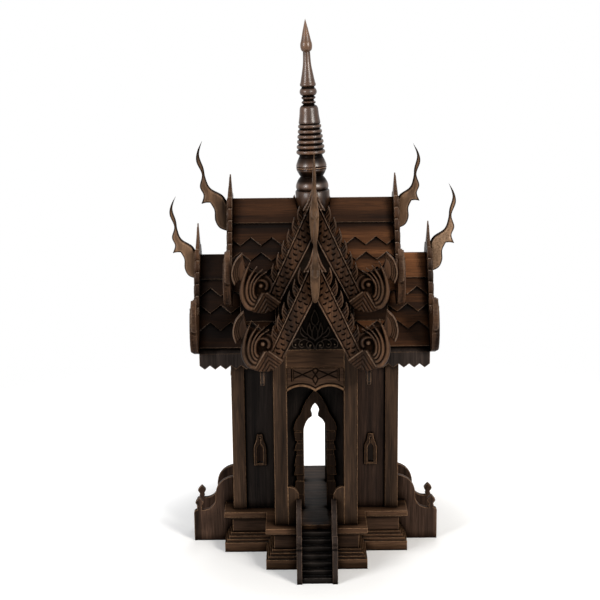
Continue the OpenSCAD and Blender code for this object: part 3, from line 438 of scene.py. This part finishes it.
def carved_half(ridge, over, out, spike):
    """Right half of a carved board: points, their height over the face, their tone, triangles and rim."""
    top = ridge + over
    tan, cos, sin = math.tan(SLOPE), math.cos(SLOPE), math.sin(SLOPE)
    eye = np.array([out, top - out * tan + 13.5 / cos])
    foot = eye + from_eye([-94, -40])
    head = np.array([0.1, top - BODY_DEPTH])
    lap = out - 0.4 * CURL_R
    body = np.array([[0.1, top - 0.1 * tan], head, foot,
                     [lap, eye[1] - 0.4 * CURL_R], [lap, top - lap * tan]])
    flank = 0.6 * CURL_R
    sweep = smooth_line([[0.5 * flank, top - 0.38 * BODY_DEPTH], [0.85 * flank, top - 0.4 * BODY_DEPTH],
                         [0.55 * flank, top - 0.24 * BODY_DEPTH], [0.35 * flank, top - 0.08 * BODY_DEPTH],
                         [0.15 * flank, ridge + 0.78 * spike], [0.1, ridge + spike]], 5)
    apex = np.vstack([[[0.1, top - BODY_DEPTH / 2], [flank, top - flank * tan]], sweep])
    flames, backs = [], []
    for i in range(6):
        root_z = top - BODY_DEPTH / 2 - FLAME_H / 2 - i * FLAME_STEP
        root = np.array([(top - root_z) / tan - BORDER_W / 2, root_z])
        back = smooth_line(np.array([[0, 0], [13, 14], [20, 42], [17, 72], [6, 100]]) * FLAME_H / 100, 5)
        belly = smooth_line(np.array([[6, 100], [-1, 78], [-11, 60], [-22, 44]]) * FLAME_H / 100, 4)[1:]
        flames.append(root + np.vstack([back, belly]))
        backs.append(root + back)
    hub = eye + disc((-0.05 * CURL_R, -0.03 * CURL_R), CURL_R)
    hub = hub[hub[:, 1] < eye[1] + 0.08 * CURL_R]
    hub = hub[np.argsort(np.arctan2(hub[:, 1] - eye[1] + 10, hub[:, 0] - eye[0]))]
    nest = eye + disc((-0.12 * CURL_R, 0.25 * CURL_R), 0.48 * CURL_R)
    strands = [eye + strand_line(at) for at, _ in STRANDS]
    gap = np.linalg.norm(OUTER_STRAND[3] - INNER_STRAND[3]) / 3
    outer, inner = eye + strand_line(-0.6), eye + strand_line(3.6)
    sheaf = np.vstack([outer[:-3], inner[:-3][::-1]])
    tips = []
    for line, (_, wide) in zip(strands, STRANDS):
        run = np.gradient(line, axis=0)
        side = np.stack([-run[:, 1], run[:, 0]], 1) / np.linalg.norm(run, axis=1)[:, None]
        half = wide * gap * (1 - 0.9 * np.linspace(0, 1, len(line)) ** 3)[:, None]
        tips.append(np.vstack([line + side * half, (line - side * half)[::-1]]))
    crest = eye + CREST
    flat, tris, rim = sheet([body, apex, *flames, hub, nest, sheaf, *tips, crest], 1.0)

    # The tone darkens quirks, cuts, hollows and the gaps between strands and makes borders, rolls and crests
    # paler: partly stain and wear, partly painted shade and painted highlight
    # The body: borders, a quirk beside each, and rows of gouged scales
    height, tone = np.zeros(len(flat)), np.zeros(len(flat))
    from_outer = (top - flat[:, 0] * tan - flat[:, 1]) * cos
    lean = (foot - head) / np.linalg.norm(foot - head)
    from_inner = lean[0] * (flat[:, 1] - head[1]) - lean[1] * (flat[:, 0] - head[0])
    in_body = within(body, flat)
    field = np.minimum(from_outer, from_inner)
    border, quirk = swell(field - 1.3, 1.3), swell(field - 3.3, 0.8)
    height += in_body * (1.6 * border - 1.0 * quirk)
    tone += in_body * (0.6 * border ** 3 - 0.8 * quirk)
    run = flat[:, 0] * cos + (top - flat[:, 1]) * sin
    width = from_outer + from_inner
    hand = np.random.default_rng(5)
    for row in range(2, 24):
        for share in ((0.3, 0.7) if row % 2 else (0.5,)):
            scale_r = hand.uniform(3.0, 3.8)
            s = run - 8.2 * row - hand.uniform(-0.9, 0.9)
            t = from_outer - share * width - hand.uniform(-1.0, 1.0)
            r = np.hypot(s, t)
            in_field = in_body * (field > 3.9)
            cut = swell(r - scale_r, 1.15) * rise(s / np.maximum(r, 1e-6), 0.35, 0.75) * in_field
            height += in_field * 0.8 * np.clip(1 - (r / scale_r) ** 2, 0, 1) - 2.0 * cut
            tone -= 1.0 * cut

    # The apex and the flames, each with a rolled back edge and slanted gouge cuts
    edge, _ = along_line(sweep, flat)
    roll = within(apex, flat) * swell(edge - 1.0, 1.2)
    height += roll
    tone += 0.5 * roll
    for flame, back in zip(flames, backs):
        here = within(flame, flat) & ~in_body
        d, _ = along_line(closed(flame), flat)
        e, _ = along_line(back, flat)
        u = (flat[:, 0] - back[0, 0]) * 0.80 - (flat[:, 1] - back[0, 1]) * 0.60
        roll = swell(e - 1.1, 1.3)
        cut = swell(np.mod(u, 4.2) - 2.1, 0.9) * rise(e, 1.8, 3.0)
        leaf = 0.4 + 1.6 * (1 - np.exp(-d / 1.8)) + 0.9 * roll - 1.2 * cut
        over_it = here & (leaf > height)
        height = np.where(over_it, leaf, height)
        tone = np.where(over_it, 0.4 * roll - 0.9 * cut - 0.2, tone)

    # The curl: a hollow round the eye, the cuff, the crest leaf and the strands on top
    def lay(mask, level, shade):
        over_it = mask & (level > height)
        return np.where(over_it, level, height), np.where(over_it, shade, tone)

    in_hub, in_nest = within(hub, flat), within(nest, flat)
    d_eye = np.linalg.norm(flat - eye - EYE, axis=1)
    hollow = rise(d_eye, 17, 12)
    height = np.where(in_nest | in_hub, height - 2.2 * hollow, height)
    tone = np.where(in_nest | in_hub, np.minimum(tone, -0.95 * hollow), tone)
    hook, hook_at = along_line(eye + EYE + np.array([[10.5 * math.cos(a) + 0.5, 9.5 * math.sin(a)]
                               for a in np.radians(np.linspace(215, -10, 24))]), flat)
    ridge_line = swell(hook, 3.0 * (1 - 0.6 * hook_at ** 2))
    height, tone = lay(in_nest, 3.6 * ridge_line - 0.4, 0.9 * ridge_line - 0.8)
    knob = swell(d_eye, 4.4)
    height, tone = lay(d_eye < 4.4, 3.6 * knob, 1.3 * knob - 0.9)
    in_cuff = within(eye + CUFF, flat) & in_hub
    ribs = [eye + from_eye([[-12, -10], [30, -80]]), eye + from_eye([[-30, -8], [-88, -51]])]
    rib = np.min([along_line(line, flat)[0] for line in ribs], axis=0)
    groove = swell(np.mod(rib + 1.0, 5.2) - 2.6, 1.1) * rise(rib, 2.4, 3.4)
    height, tone = lay(in_cuff, 2.6 - 1.3 * groove, -0.5 * groove)
    height, tone = lay(in_hub & (rib < 1.7), 4.9 * swell(rib, 1.7), 1.1 * swell(rib, 1.7) - 0.6)
    d, _ = along_line(closed(crest), flat)
    back, back_at = along_line(eye + smooth_line(CREST_BACK, 5), flat)
    roll = swell(back - 1.3, 1.5)
    veins = sum(swell(back - line * (1 - 0.45 * back_at), 0.9) for line in (4.6, 8.2, 11.8))
    leaf = 0.3 + 2.0 * (1 - np.exp(-d / 2.2)) + 1.1 * roll - 1.1 * veins
    height, tone = lay(within(crest, flat), leaf, 0.5 * roll - 0.6 * veins)
    height, tone = lay(within(sheaf, flat), np.full(len(flat), 1.2), np.full(len(flat), -0.9))
    for line, (_, wide) in zip(strands, STRANDS):
        d, at = along_line(line, flat)
        half = 1.06 * wide * gap * (1 - 0.85 * at ** 3)
        full = swell(d, half)
        height, tone = lay(d < half, (1.4 + 4.4 * full) * rise(at, -0.02, 0.07), 0.95 * full - 0.75)

    # All arrises along the rim are rubbed round
    rim_d = from_rim(flat, rim)
    height -= 1.3 * (1 - swell(np.clip(1.5 - rim_d, 0, 1.5), 1.5))
    height += 0.12 * np.sin(flat[:, 0] * 1.9 + 3 * np.sin(flat[:, 1] * 0.7)) * (rim_d > 0.4)
    return flat, tris, rim, height, np.clip(tone, -1, 1)


def toned_mesh(name, verts, faces, soft, tones, wood):
    """A carved mesh with its finish, and the tone of each point for that finish to follow."""
    mesh = bpy.data.meshes.new(name)
    mesh.from_pydata(verts, [], faces)
    mesh.polygons.foreach_set("use_smooth", soft)
    mesh.attributes.new("tone", "FLOAT", "POINT").data.foreach_set("value", tones)
    mesh.update()
    mesh.materials.append(wood)
    return mesh


def fix_on(name, mesh, quarter_turns=0, replaced=None):
    """Fixes a piece on the house, in place of a piece of the frame where one is named."""
    piece = bpy.data.objects.new(name, mesh)
    piece.rotation_euler[2] = math.radians(90 * quarter_turns)
    bpy.context.scene.collection.objects.link(piece)
    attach(piece, "root")
    if replaced:
        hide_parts(replaced)


def carved_pair(name, wood, ridge, over, out, gable, spike):
    """Both halves of a gable's boards in one mesh, with a flat rear face and a thinned spike."""
    flat, tris, rim, height, tone = carved_half(ridge, over, out, spike)
    up = np.clip((flat[:, 1] - ridge) / spike, 0, 1)
    face = gable + BOARD_T * (1 - 0.40 * up) + height * (1 - 0.7 * up)
    rear_face = gable + 0.28 * BOARD_T * up
    verts, faces, soft, tones = [], [], [], []
    ring = sorted(set(rim.ravel()))
    place = {i: k for k, i in enumerate(ring)}
    _, _, back, source, _, _ = delaunay_2d_cdt([Vector(flat[i]) for i in ring],
                                               [(place[i], place[j]) for i, j in rim], [], 1, 1e-6)
    for side in (1, -1):
        start = len(verts)
        rear = {i: start + len(flat) + k for k, i in enumerate(ring)}
        verts += [(side * x * MM, -y * MM, z * MM) for (x, z), y in zip(flat, face)]
        verts += [(side * flat[i][0] * MM, -rear_face[i] * MM, flat[i][1] * MM) for i in ring]
        tones += list(tone) + [0.0] * len(ring)
        made = [[start + i for i in f] for f in tris]
        made += [[start + j, start + i, rear[i], rear[j]] for i, j in rim]
        made += [[rear[ring[source[i][0]]] for i in f[::-1]] for f in back]
        faces += made if side > 0 else [f[::-1] for f in made]
        soft += [True] * len(tris) + [False] * (len(made) - len(tris))
    return toned_mesh(name, verts, faces, soft, tones, wood)


carved_wood = stained_teak("carved board wood", "Z", (0.007, 0.0042, 0.0028), (0.070, 0.033, 0.0165),
                           (0.240, 0.148, 0.092), gloss=0.36, shine=0.09, shade=0.9, seed=13.0)
# Ridge height, rise of the boards over it, reach of the eyes, face of the gable, height of the spike
TIERS = {"lower": (LOWER_RIDGE, 33.0, 84.0, 193.0, 54.0), "upper": (UPPER_RIDGE, 25.0, 87.0, 135.94, 41.0)}
for tier, sizes in TIERS.items():
    mesh = carved_pair(tier + " carved boards", carved_wood, *sizes)
    for k, arm in enumerate(ARMS):
        fix_on(arm + "_" + tier + "_carving", mesh, k, arm + "_" + tier + "_bargeboards")


# Pediment carving: a thin panel of low relief planted on each gable board, with a pair of
# scrolls round turned-looking bosses at the foot and a fan of leaves above them.

SCROLLS = [[[0.8, 2], [3, 10], [8, 15], [13, 12.5], [13.5, 7.5], [10.5, 4.2], [7, 5]],
           [[11, 16], [17, 19], [24, 15.5], [26, 9.5], [22.5, 5], [18.5, 6.5]],
           [[23, 18], [30, 19.5], [37, 13.5], [36, 6.5], [31.5, 5]],
           [[0, 16], [4.5, 24], [4, 33], [0, 43]],
           [[3, 19], [10, 25], [12.5, 34], [9, 46]], [[9, 46], [7, 36], [4, 28]],
           [[13, 21], [20, 25], [24, 32], [22, 39]], [[22, 39], [18, 32], [13, 27]],
           [[3, 43], [6, 51], [3.5, 60], [0, 68]]]
BOSSES = [(8, 8.5, 3.0), (21.8, 10, 2.2), (32, 9.5, 1.8)]
PEDIMENT = np.array([[-56.0, 0.6], [56.0, 0.6], [0.0, 80.0]])
GABLE_FACE, BEAM_TOP, GROUND = 142.0, 377.0, 0.3


def pediment_panel(wood):
    """Right and left halves of the carved panel, by mirror."""
    flat, tris, rim = sheet([PEDIMENT], 1.0)
    half = np.stack([np.abs(flat[:, 0]), flat[:, 1]], 1)
    # The ground is dark and the scrolls and bosses paler: partly stain and wear, partly painted shade and
    # painted highlight
    height, tone = np.full(len(flat), GROUND), np.full(len(flat), -0.8)
    for scroll in SCROLLS:
        d, at = along_line(smooth_line(scroll, 5), half)
        full = swell(d, 1.7 - 0.5 * at)
        height = np.maximum(height, GROUND + 2.2 * full)
        tone = np.maximum(tone, 0.8 * full - 0.8)
    for x, z, r in BOSSES:
        full = swell(np.hypot(half[:, 0] - x, half[:, 1] - z), r)
        height = np.maximum(height, GROUND + 3.2 * full)
        tone = np.maximum(tone, 1.6 * full - 0.8)
    height = np.where(from_rim(flat, rim) < 0.3, -1.0, height)
    verts = [(x * MM, -(GABLE_FACE + h) * MM, (BEAM_TOP + z) * MM) for (x, z), h in zip(flat, height)]
    return toned_mesh("pediment panel", verts, tris.tolist(), [True] * len(tris), tone, wood)


pediment_wood = stained_teak("pediment carving wood", "Z", (0.009, 0.0065, 0.0055), (0.062, 0.041, 0.030),
                             (0.200, 0.140, 0.085), shine=0.1, seed=16.0)
panel = pediment_panel(pediment_wood)
for k, arm in enumerate(ARMS):
    fix_on(arm + "_pediment_carving", panel, k)


# Frieze carving: the face of each lintel between the posts, with a raised band that follows the
# two arches to a cusp, and uprights, saltires and pointed leaves cut with a gouge.

ARCH_CROWN, ARCH_R, ARCH_X = 315.0, 35.18, 23.5
LINTEL_FACE, FRIEZE_HALF, FRIEZE_TOP = 142.0, 46.9, 346.9
# Lines of the cuts on the right half, with the half width of each
FRIEZE_CUTS = [([[38.8, 325], [38.8, 345]], 1.3), ([[35.8, 326], [35.8, 344.5]], 0.7),
               ([[35, 342.5], [4.5, 328]], 1.3), ([[35, 329.5], [4.5, 343.5]], 1.3),
               ([[0, 347], [4.4, 342.5], [0, 336]], 1.3), ([[0, 335], [4.0, 328.5], [0, 319]], 1.3)]


def frieze_panel(wood):
    """The carved face of a lintel, cut below to the two arches."""
    x = np.linspace(-FRIEZE_HALF, FRIEZE_HALF, 95)
    arches = np.stack([x, ARCH_CROWN - ARCH_R + np.sqrt(ARCH_R ** 2 - (np.abs(x) - ARCH_X) ** 2)], 1)
    top = [[FRIEZE_HALF, FRIEZE_TOP], [-FRIEZE_HALF, FRIEZE_TOP]]
    flat, tris, rim = sheet([np.vstack([arches, top])], 0.8)
    half = np.stack([np.abs(flat[:, 0]), flat[:, 1]], 1)
    up, _ = along_line(arches, flat)
    band, cut = swell(up - 2.3, 2.4), swell(up - 5.6, 1.1)
    for line, wide in FRIEZE_CUTS:
        cut = np.maximum(cut, swell(along_line(smooth_line(line, 6), half)[0], wide) * (up > 5.6))
    # The cuts are dark and the raised band paler: partly stain and wear, partly painted shade and painted
    # highlight
    height = np.where(from_rim(flat, rim) < 0.2, -0.5, 1.1 + 0.9 * band - 0.9 * cut)
    tone = 0.5 * band ** 3 - 0.97 * cut
    verts = [(x * MM, -(LINTEL_FACE + h) * MM, z * MM) for (x, z), h in zip(flat, height)]
    return toned_mesh("frieze panel", verts, tris.tolist(), [True] * len(tris), tone, wood)


frieze_wood = stained_teak("frieze wood", "X", DEEP, (0.062, 0.034, 0.020), EDGE, seed=19.0)
panel = frieze_panel(frieze_wood)
for k, arm in enumerate(ARMS):
    fix_on(arm + "_frieze_carving", panel, k)


# Horn finials: sawn from thick board to a swan's neck with a spur, thinned towards the tip,
# rounded with a rasp and pegged on the boards at each apex. No two are set quite alike.

HORN_H = 98.0
HORN_EDGE = [smooth_line(line, 6) for line in (
    [[-1, 0], [16, 6], [24, 20], [25, 38], [32, 51]],
    [[32, 51], [39, 51], [47, 49]],
    [[47, 49], [43, 64], [49, 79], [45, 100], [54, 122], [52, 140], [43, 158]],
    [[43, 158], [49, 134], [42, 111], [39, 94], [31, 76], [10, 63], [-1, 44]])]
HORN_OUTLINE = np.vstack([line[:-1] for line in HORN_EDGE] + [HORN_EDGE[-1][-1:]])
# Heights up the horn and its half thickness there
HORN_HALF = ([0, 14, 36, 60, 76, 94, 123, 164], [3.0, 5.2, 7.2, 7.2, 4.8, 3.4, 2.8, 1.2])
# Foot above the ridge in hundredths of the horn, lean in degrees, size and wear, for each arm in turn
HORNS = {"lower": [(-44, 3, 0.95, 0.1), (-35, 4, 0.97, 0.65), (-44, 3, 0.95, 0.1), (-44, 2.5, 0.92, 0.15)],
         "upper": [(-58, 2, 0.97, 0.1), (-56, 5, 0.92, 0.1), (-58, 2, 0.97, 0.1), (-58, 0, 1.0, 0.0)]}
# Painted shade on the rims of the horns: dark on the side horns and lighter on the front and back horns
SIDE_RIM_SHADE, END_RIM_SHADE = -0.95, -0.4
horn_wood = stained_teak("horn wood", "Z", (0.052, 0.029, 0.017), (0.155, 0.088, 0.050),
                         (0.36, 0.225, 0.135), gloss=0.34, shine=0.1, shade=0.8, seed=14.0)
for tier, settings in HORNS.items():
    ridge, gable = TIERS[tier][0], TIERS[tier][3]
    verts, faces, tones = [], [], []
    for k, (foot_up, lean, size, tone_shift) in enumerate(settings):
        scale = size * HORN_H / 100
        c, n = math.cos(math.radians(lean)), math.sin(math.radians(lean))
        outline = HORN_OUTLINE @ np.array([[c, n], [-n, c]]) * scale
        outline[:, 0] = np.maximum(outline[:, 0], -0.5)
        flat, tris, rim = sheet([outline], 1.3)
        rim_d = from_rim(flat, rim)
        rasped = 0.35 + 0.65 * swell(np.clip(4.0 - rim_d, 0, 4.0), 4.0)
        half = np.interp(flat[:, 1] / scale, *HORN_HALF) * rasped
        rim_shade = SIDE_RIM_SHADE if k % 2 else END_RIM_SHADE
        flank = tone_shift - 0.45 * rise(flat[:, 1] / scale, 55, 110)
        ridged = flank + 0.3 * swell(np.abs(rim_d - 3.4), 1.6) + (rim_shade - flank) * swell(rim_d, 2.6)
        foot = ridge + foot_up * HORN_H / 100
        start, turn = len(verts), math.radians(90 * k)
        c, n = math.cos(turn), math.sin(turn)
        for side in (1, -1):
            for (out, up), x in zip(flat, side * half):
                y = -(gable + BOARD_T + out)
                verts.append(((x * c - y * n) * MM, (x * n + y * c) * MM, (foot + up) * MM))
            tones += list(np.clip(ridged, -1, 1))
        count = len(flat)
        faces += [[start + i for i in f] for f in tris]
        faces += [[start + count + i for i in f[::-1]] for f in tris]
        faces += [[start + j, start + i, start + count + i, start + count + j] for i, j in rim]
    mesh = toned_mesh(tier + " horns", verts, faces, [True] * len(faces), tones, horn_wood)
    fix_on(tier + "_horns", mesh, replaced=tier + "_finials")


# Spire: turned from one block on a lathe, with two knobs, a stack of rings, a bell and a bud,
# polished smoother than the boards, saddled over the crossing of the ridges with a slight lean.

SPIRE_R, SPIRE_H, SPIRE_LEAN = 3.0, 2.96, math.radians(2)
AROUND = 128
DRUM_TOP, RINGS_FOOT, RINGS_TOP, CONE_FOOT, BUD_FOOT = 4.5, 24.8, 41.4, 64.9, 82.0


def ring_of(radius, height, half):
    """Round edge of a bead or ring, from its groove below to its groove above."""
    edge = [[radius - 0.9, -1.0], [radius - 0.6, -0.84], [radius - 0.12, -0.5], [radius, 0.0],
            [radius - 0.12, 0.5], [radius - 0.6, 0.84], [radius - 0.9, 1.0]]
    return [[r, height + share * half] for r, share in edge]


# Half width and height of the turning, from the drum to the tip of the bud
turning = [[9.7, 0.0], [9.65, 3.9], [9.3, 4.4], [8.7, 4.5]]
turning += smooth_line([[8.7, 4.5], [9.15, 6.0], [9.1, 7.4], [8.5, 9.2], [7.4, 11.1],
                        [6.4, 12.3]], 4).tolist()
turning += smooth_line([[6.4, 12.4], [7.4, 14.1], [8.5, 16.4]], 4).tolist()
turning += [[8.15, 16.6], [8.15, 16.9], [8.62, 17.05], [8.66, 17.5], [8.2, 17.65], [8.2, 17.95]]
turning += smooth_line([[8.6, 18.15], [8.3, 19.6], [7.4, 22.0], [6.6, 23.6], [6.5, 24.6]], 4).tolist()
for i in range(6):
    turning += smooth_line(ring_of(8.1 - 0.32 * i, 26.2 + 2.88 * i, 1.3), 3).tolist()
turning += smooth_line([[5.6, 42.0], [6.1, 42.5], [5.9, 44], [5.5, 46.7], [5.2, 50], [4.9, 51.3],
                        [4.2, 52.2], [3.5, 52.5]], 4).tolist()
for height in (54.0, 56.6):
    turning += smooth_line(ring_of(3.95, height, 0.9), 3).tolist()
turning += smooth_line([[3.4, 57.7], [4.4, 58.5], [4.8, 59.9], [4.4, 61.3], [3.7, 62.0]], 4).tolist()
turning += smooth_line([[3.6, 62.8], [4.3, 63.2], [4.45, 63.9], [4.3, 64.6], [4.1, 64.9]], 3).tolist()
turning += smooth_line([[4.1, 65.0], [3.3, 69.2], [2.3, 75.3], [2.0, 81.7]], 5).tolist()
turning += smooth_line([[1.9, 81.9], [2.9, 83], [3.3, 84.8], [3.2, 86.6], [2.7, 88.4], [1.5, 94],
                        [0.02, 100]], 5).tolist()
turning = np.array(turning)

# Grooves dark and unpolished (stain and painted shade); painted highlight on the ring crests; pale and dark
# line round the upper knob; bud paler, drum darker
up = turning[:, 1]
near = np.array([max(p[0] for p in turning if abs(p[1] - z) < 2.2) for z in up])
deep = np.clip((near - turning[:, 0] - 0.25) / 0.55, 0, 1)
deep[up > CONE_FOOT] *= 0.3
tone_shift = np.where((up > RINGS_FOOT) & (up < RINGS_TOP), 0.22 * (near - turning[:, 0] < 0.12), 0.0)
tone_shift = np.where(up > BUD_FOOT, 0.25, np.where(up < DRUM_TOP, -0.4, tone_shift)) - 0.95 * deep
lined = (up > 16.5) & (up < 18.0)
tone_shift = np.clip(np.where(lined, np.where(turning[:, 0] > 8.5, 0.7, -0.85), tone_shift), -1, 1)

# The underside of the drum is sawn to the slopes of the roofs
seat = [(r, None, -0.4) for r in (0.02, 2.5, 5.0, 7.5, 9.72)]
verts, faces, tones = [], [], []
c, n = math.cos(SPIRE_LEAN), math.sin(SPIRE_LEAN)
for radius, height, tone in seat + [(r, z, w) for (r, z), w in zip(turning, tone_shift)]:
    for k in range(AROUND):
        x, y = (SPIRE_R * radius * f(2 * math.pi * k / AROUND) for f in (math.cos, math.sin))
        z = -min(abs(x), abs(y)) * math.tan(PITCH) if height is None else SPIRE_H * height
        verts.append(((x * c - z * n) * MM, y * MM, (UPPER_RIDGE + x * n + z * c) * MM))
        tones.append(float(tone))
rows = len(verts) // AROUND
for i in range(rows - 1):
    for k in range(AROUND):
        j = (k + 1) % AROUND
        faces.append([i * AROUND + k, i * AROUND + j, (i + 1) * AROUND + j, (i + 1) * AROUND + k])
faces.append(list(range(AROUND))[::-1])
faces.append([(rows - 1) * AROUND + k for k in range(AROUND)])
spire_wood = stained_teak("spire wood", "Z", (0.020, 0.009, 0.0042), (0.092, 0.041, 0.0185),
                          (0.32, 0.165, 0.08), gloss=0.31, shine=0.5, shade=0.9, pitted=0.07, seed=15.0)
mesh = toned_mesh("turned spire", verts, faces, [True] * len(faces), tones, spire_wood)
fix_on("turned_spire", mesh, replaced="spire")


# Stage: a round sheet of white paper under the house that fades out into white surroundings. Soft boxes
# stand to the right, to the left, overhead and behind, and the camera stands where the photograph was taken.

FLOOR_R, FLOOR_SIDES = 1.6, 96
SHADOW_R, CLEAR_R = 0.24, 0.42
FADE_FROM, FADE_TO = 0.55, 1.25
floor_mesh = bpy.data.meshes.new("floor")
corners = np.linspace(0, 2 * math.pi, FLOOR_SIDES + 1)[:-1]
floor_mesh.from_pydata([(FLOOR_R * math.cos(a), FLOOR_R * math.sin(a), 0) for a in corners], [],
                       [list(range(FLOOR_SIDES))])
floor = bpy.data.objects.new("floor", floor_mesh)
bpy.context.scene.collection.objects.link(floor)
paper = bpy.data.materials.new("white paper")
paper.use_nodes = True
tree = paper.node_tree
white = tree.nodes["Principled BSDF"]
white.inputs["Base Color"].default_value = (0.95, 0.95, 0.95, 1.0)
white.inputs["Roughness"].default_value = 0.9
white.inputs["Specular IOR Level"].default_value = 0.1
white.inputs["Emission Color"].default_value = (1.0, 1.0, 1.0, 1.0)
spot = add_node(tree, "ShaderNodeTexCoord", {}).outputs["Object"]
away = add_node(tree, "ShaderNodeVectorMath", {0: spot}, operation="LENGTH").outputs["Value"]

# The paper glows for the camera, a painted light that is weak near the house and strong away from it, so
# that the shadow stays close to the plinth
glow = add_node(tree, "ShaderNodeMapRange",
                {"Value": away, "From Min": SHADOW_R, "From Max": CLEAR_R, "To Min": 0.10, "To Max": 0.55},
                interpolation_type="SMOOTHSTEP")
straight = add_node(tree, "ShaderNodeLightPath", {}).outputs["Is Camera Ray"]
lit = add_node(tree, "ShaderNodeMapRange", {"Value": straight, "To Max": glow.outputs["Result"]})
tree.links.new(lit.outputs["Result"], white.inputs["Emission Strength"])
fade = add_node(tree, "ShaderNodeMapRange", {"Value": away, "From Min": FADE_FROM, "From Max": FADE_TO},
                interpolation_type="SMOOTHSTEP")
nothing = add_node(tree, "ShaderNodeBsdfTransparent", {})
faded = add_node(tree, "ShaderNodeMixShader", {"Fac": fade.outputs["Result"], 1: white.outputs["BSDF"],
                                               2: nothing.outputs["BSDF"]})
tree.links.new(faded.outputs["Shader"], tree.nodes["Material Output"].inputs["Surface"])
floor_mesh.materials.append(paper)

ROOM_LIGHT = 0.07
world = bpy.data.worlds.new("studio")
bpy.context.scene.world = world
world.use_nodes = True
tree = world.node_tree
rays = add_node(tree, "ShaderNodeLightPath", {}).outputs
seen = add_node(tree, "ShaderNodeMath", {0: rays["Is Camera Ray"], 1: rays["Is Transmission Ray"]},
                operation="MAXIMUM").outputs["Value"]
seen = add_node(tree, "ShaderNodeMath", {0: seen, 1: rays["Is Glossy Ray"]},
                operation="MAXIMUM").outputs["Value"]
level = add_node(tree, "ShaderNodeMapRange", {"Value": seen, "To Min": ROOM_LIGHT, "To Max": 1.0})
background = tree.nodes["Background"]
background.inputs["Color"].default_value = (1.0, 1.0, 1.0, 1.0)
tree.links.new(level.outputs["Result"], background.inputs["Strength"])


def soft_box(name, place, target, size, power, colour):
    """A square lamp that faces a target."""
    lamp = bpy.data.lights.new(name, "AREA")
    lamp.shape = "SQUARE"
    lamp.size = size
    lamp.energy = power
    lamp.color = colour
    held = bpy.data.objects.new(name, lamp)
    held.location = place
    held.rotation_euler = (Vector(target) - Vector(place)).to_track_quat("-Z", "Y").to_euler()
    bpy.context.scene.collection.objects.link(held)


soft_box("right soft box", (1.7, -2.0, 1.5), (0, 0, 0.45), 0.8, 72, (1.0, 0.96, 0.90))
soft_box("left soft box", (-1.9, -1.7, 1.3), (0, 0, 0.45), 0.7, 46, (1.0, 1.0, 1.0))
soft_box("top soft box", (0, 0.1, 2.5), (0, 0, 0), 1.6, 20, (1.0, 1.0, 1.0))
soft_box("back soft box", (0.3, 1.7, 2.0), (0, 0, 0.4), 1.2, 18, (1.0, 1.0, 1.0))

CAMERA_AT = (-0.027, -2.041, 0.8855)
PAN, LOOK_DOWN, ROLL = (math.radians(turn) for turn in (-0.1, 12.615, -0.6))
camera = bpy.data.cameras.new("camera")
camera.lens = 72.54
camera.sensor_width = 36.0
held = bpy.data.objects.new("camera", camera)
held.matrix_world = (Matrix.Translation(CAMERA_AT) @ Matrix.Rotation(PAN, 4, "Z")
                     @ Matrix.Rotation(math.radians(90) - LOOK_DOWN, 4, "X") @ Matrix.Rotation(ROLL, 4, "Z"))
bpy.context.scene.collection.objects.link(held)
bpy.context.scene.camera = held
bpy.context.scene.view_settings.view_transform = "Standard"
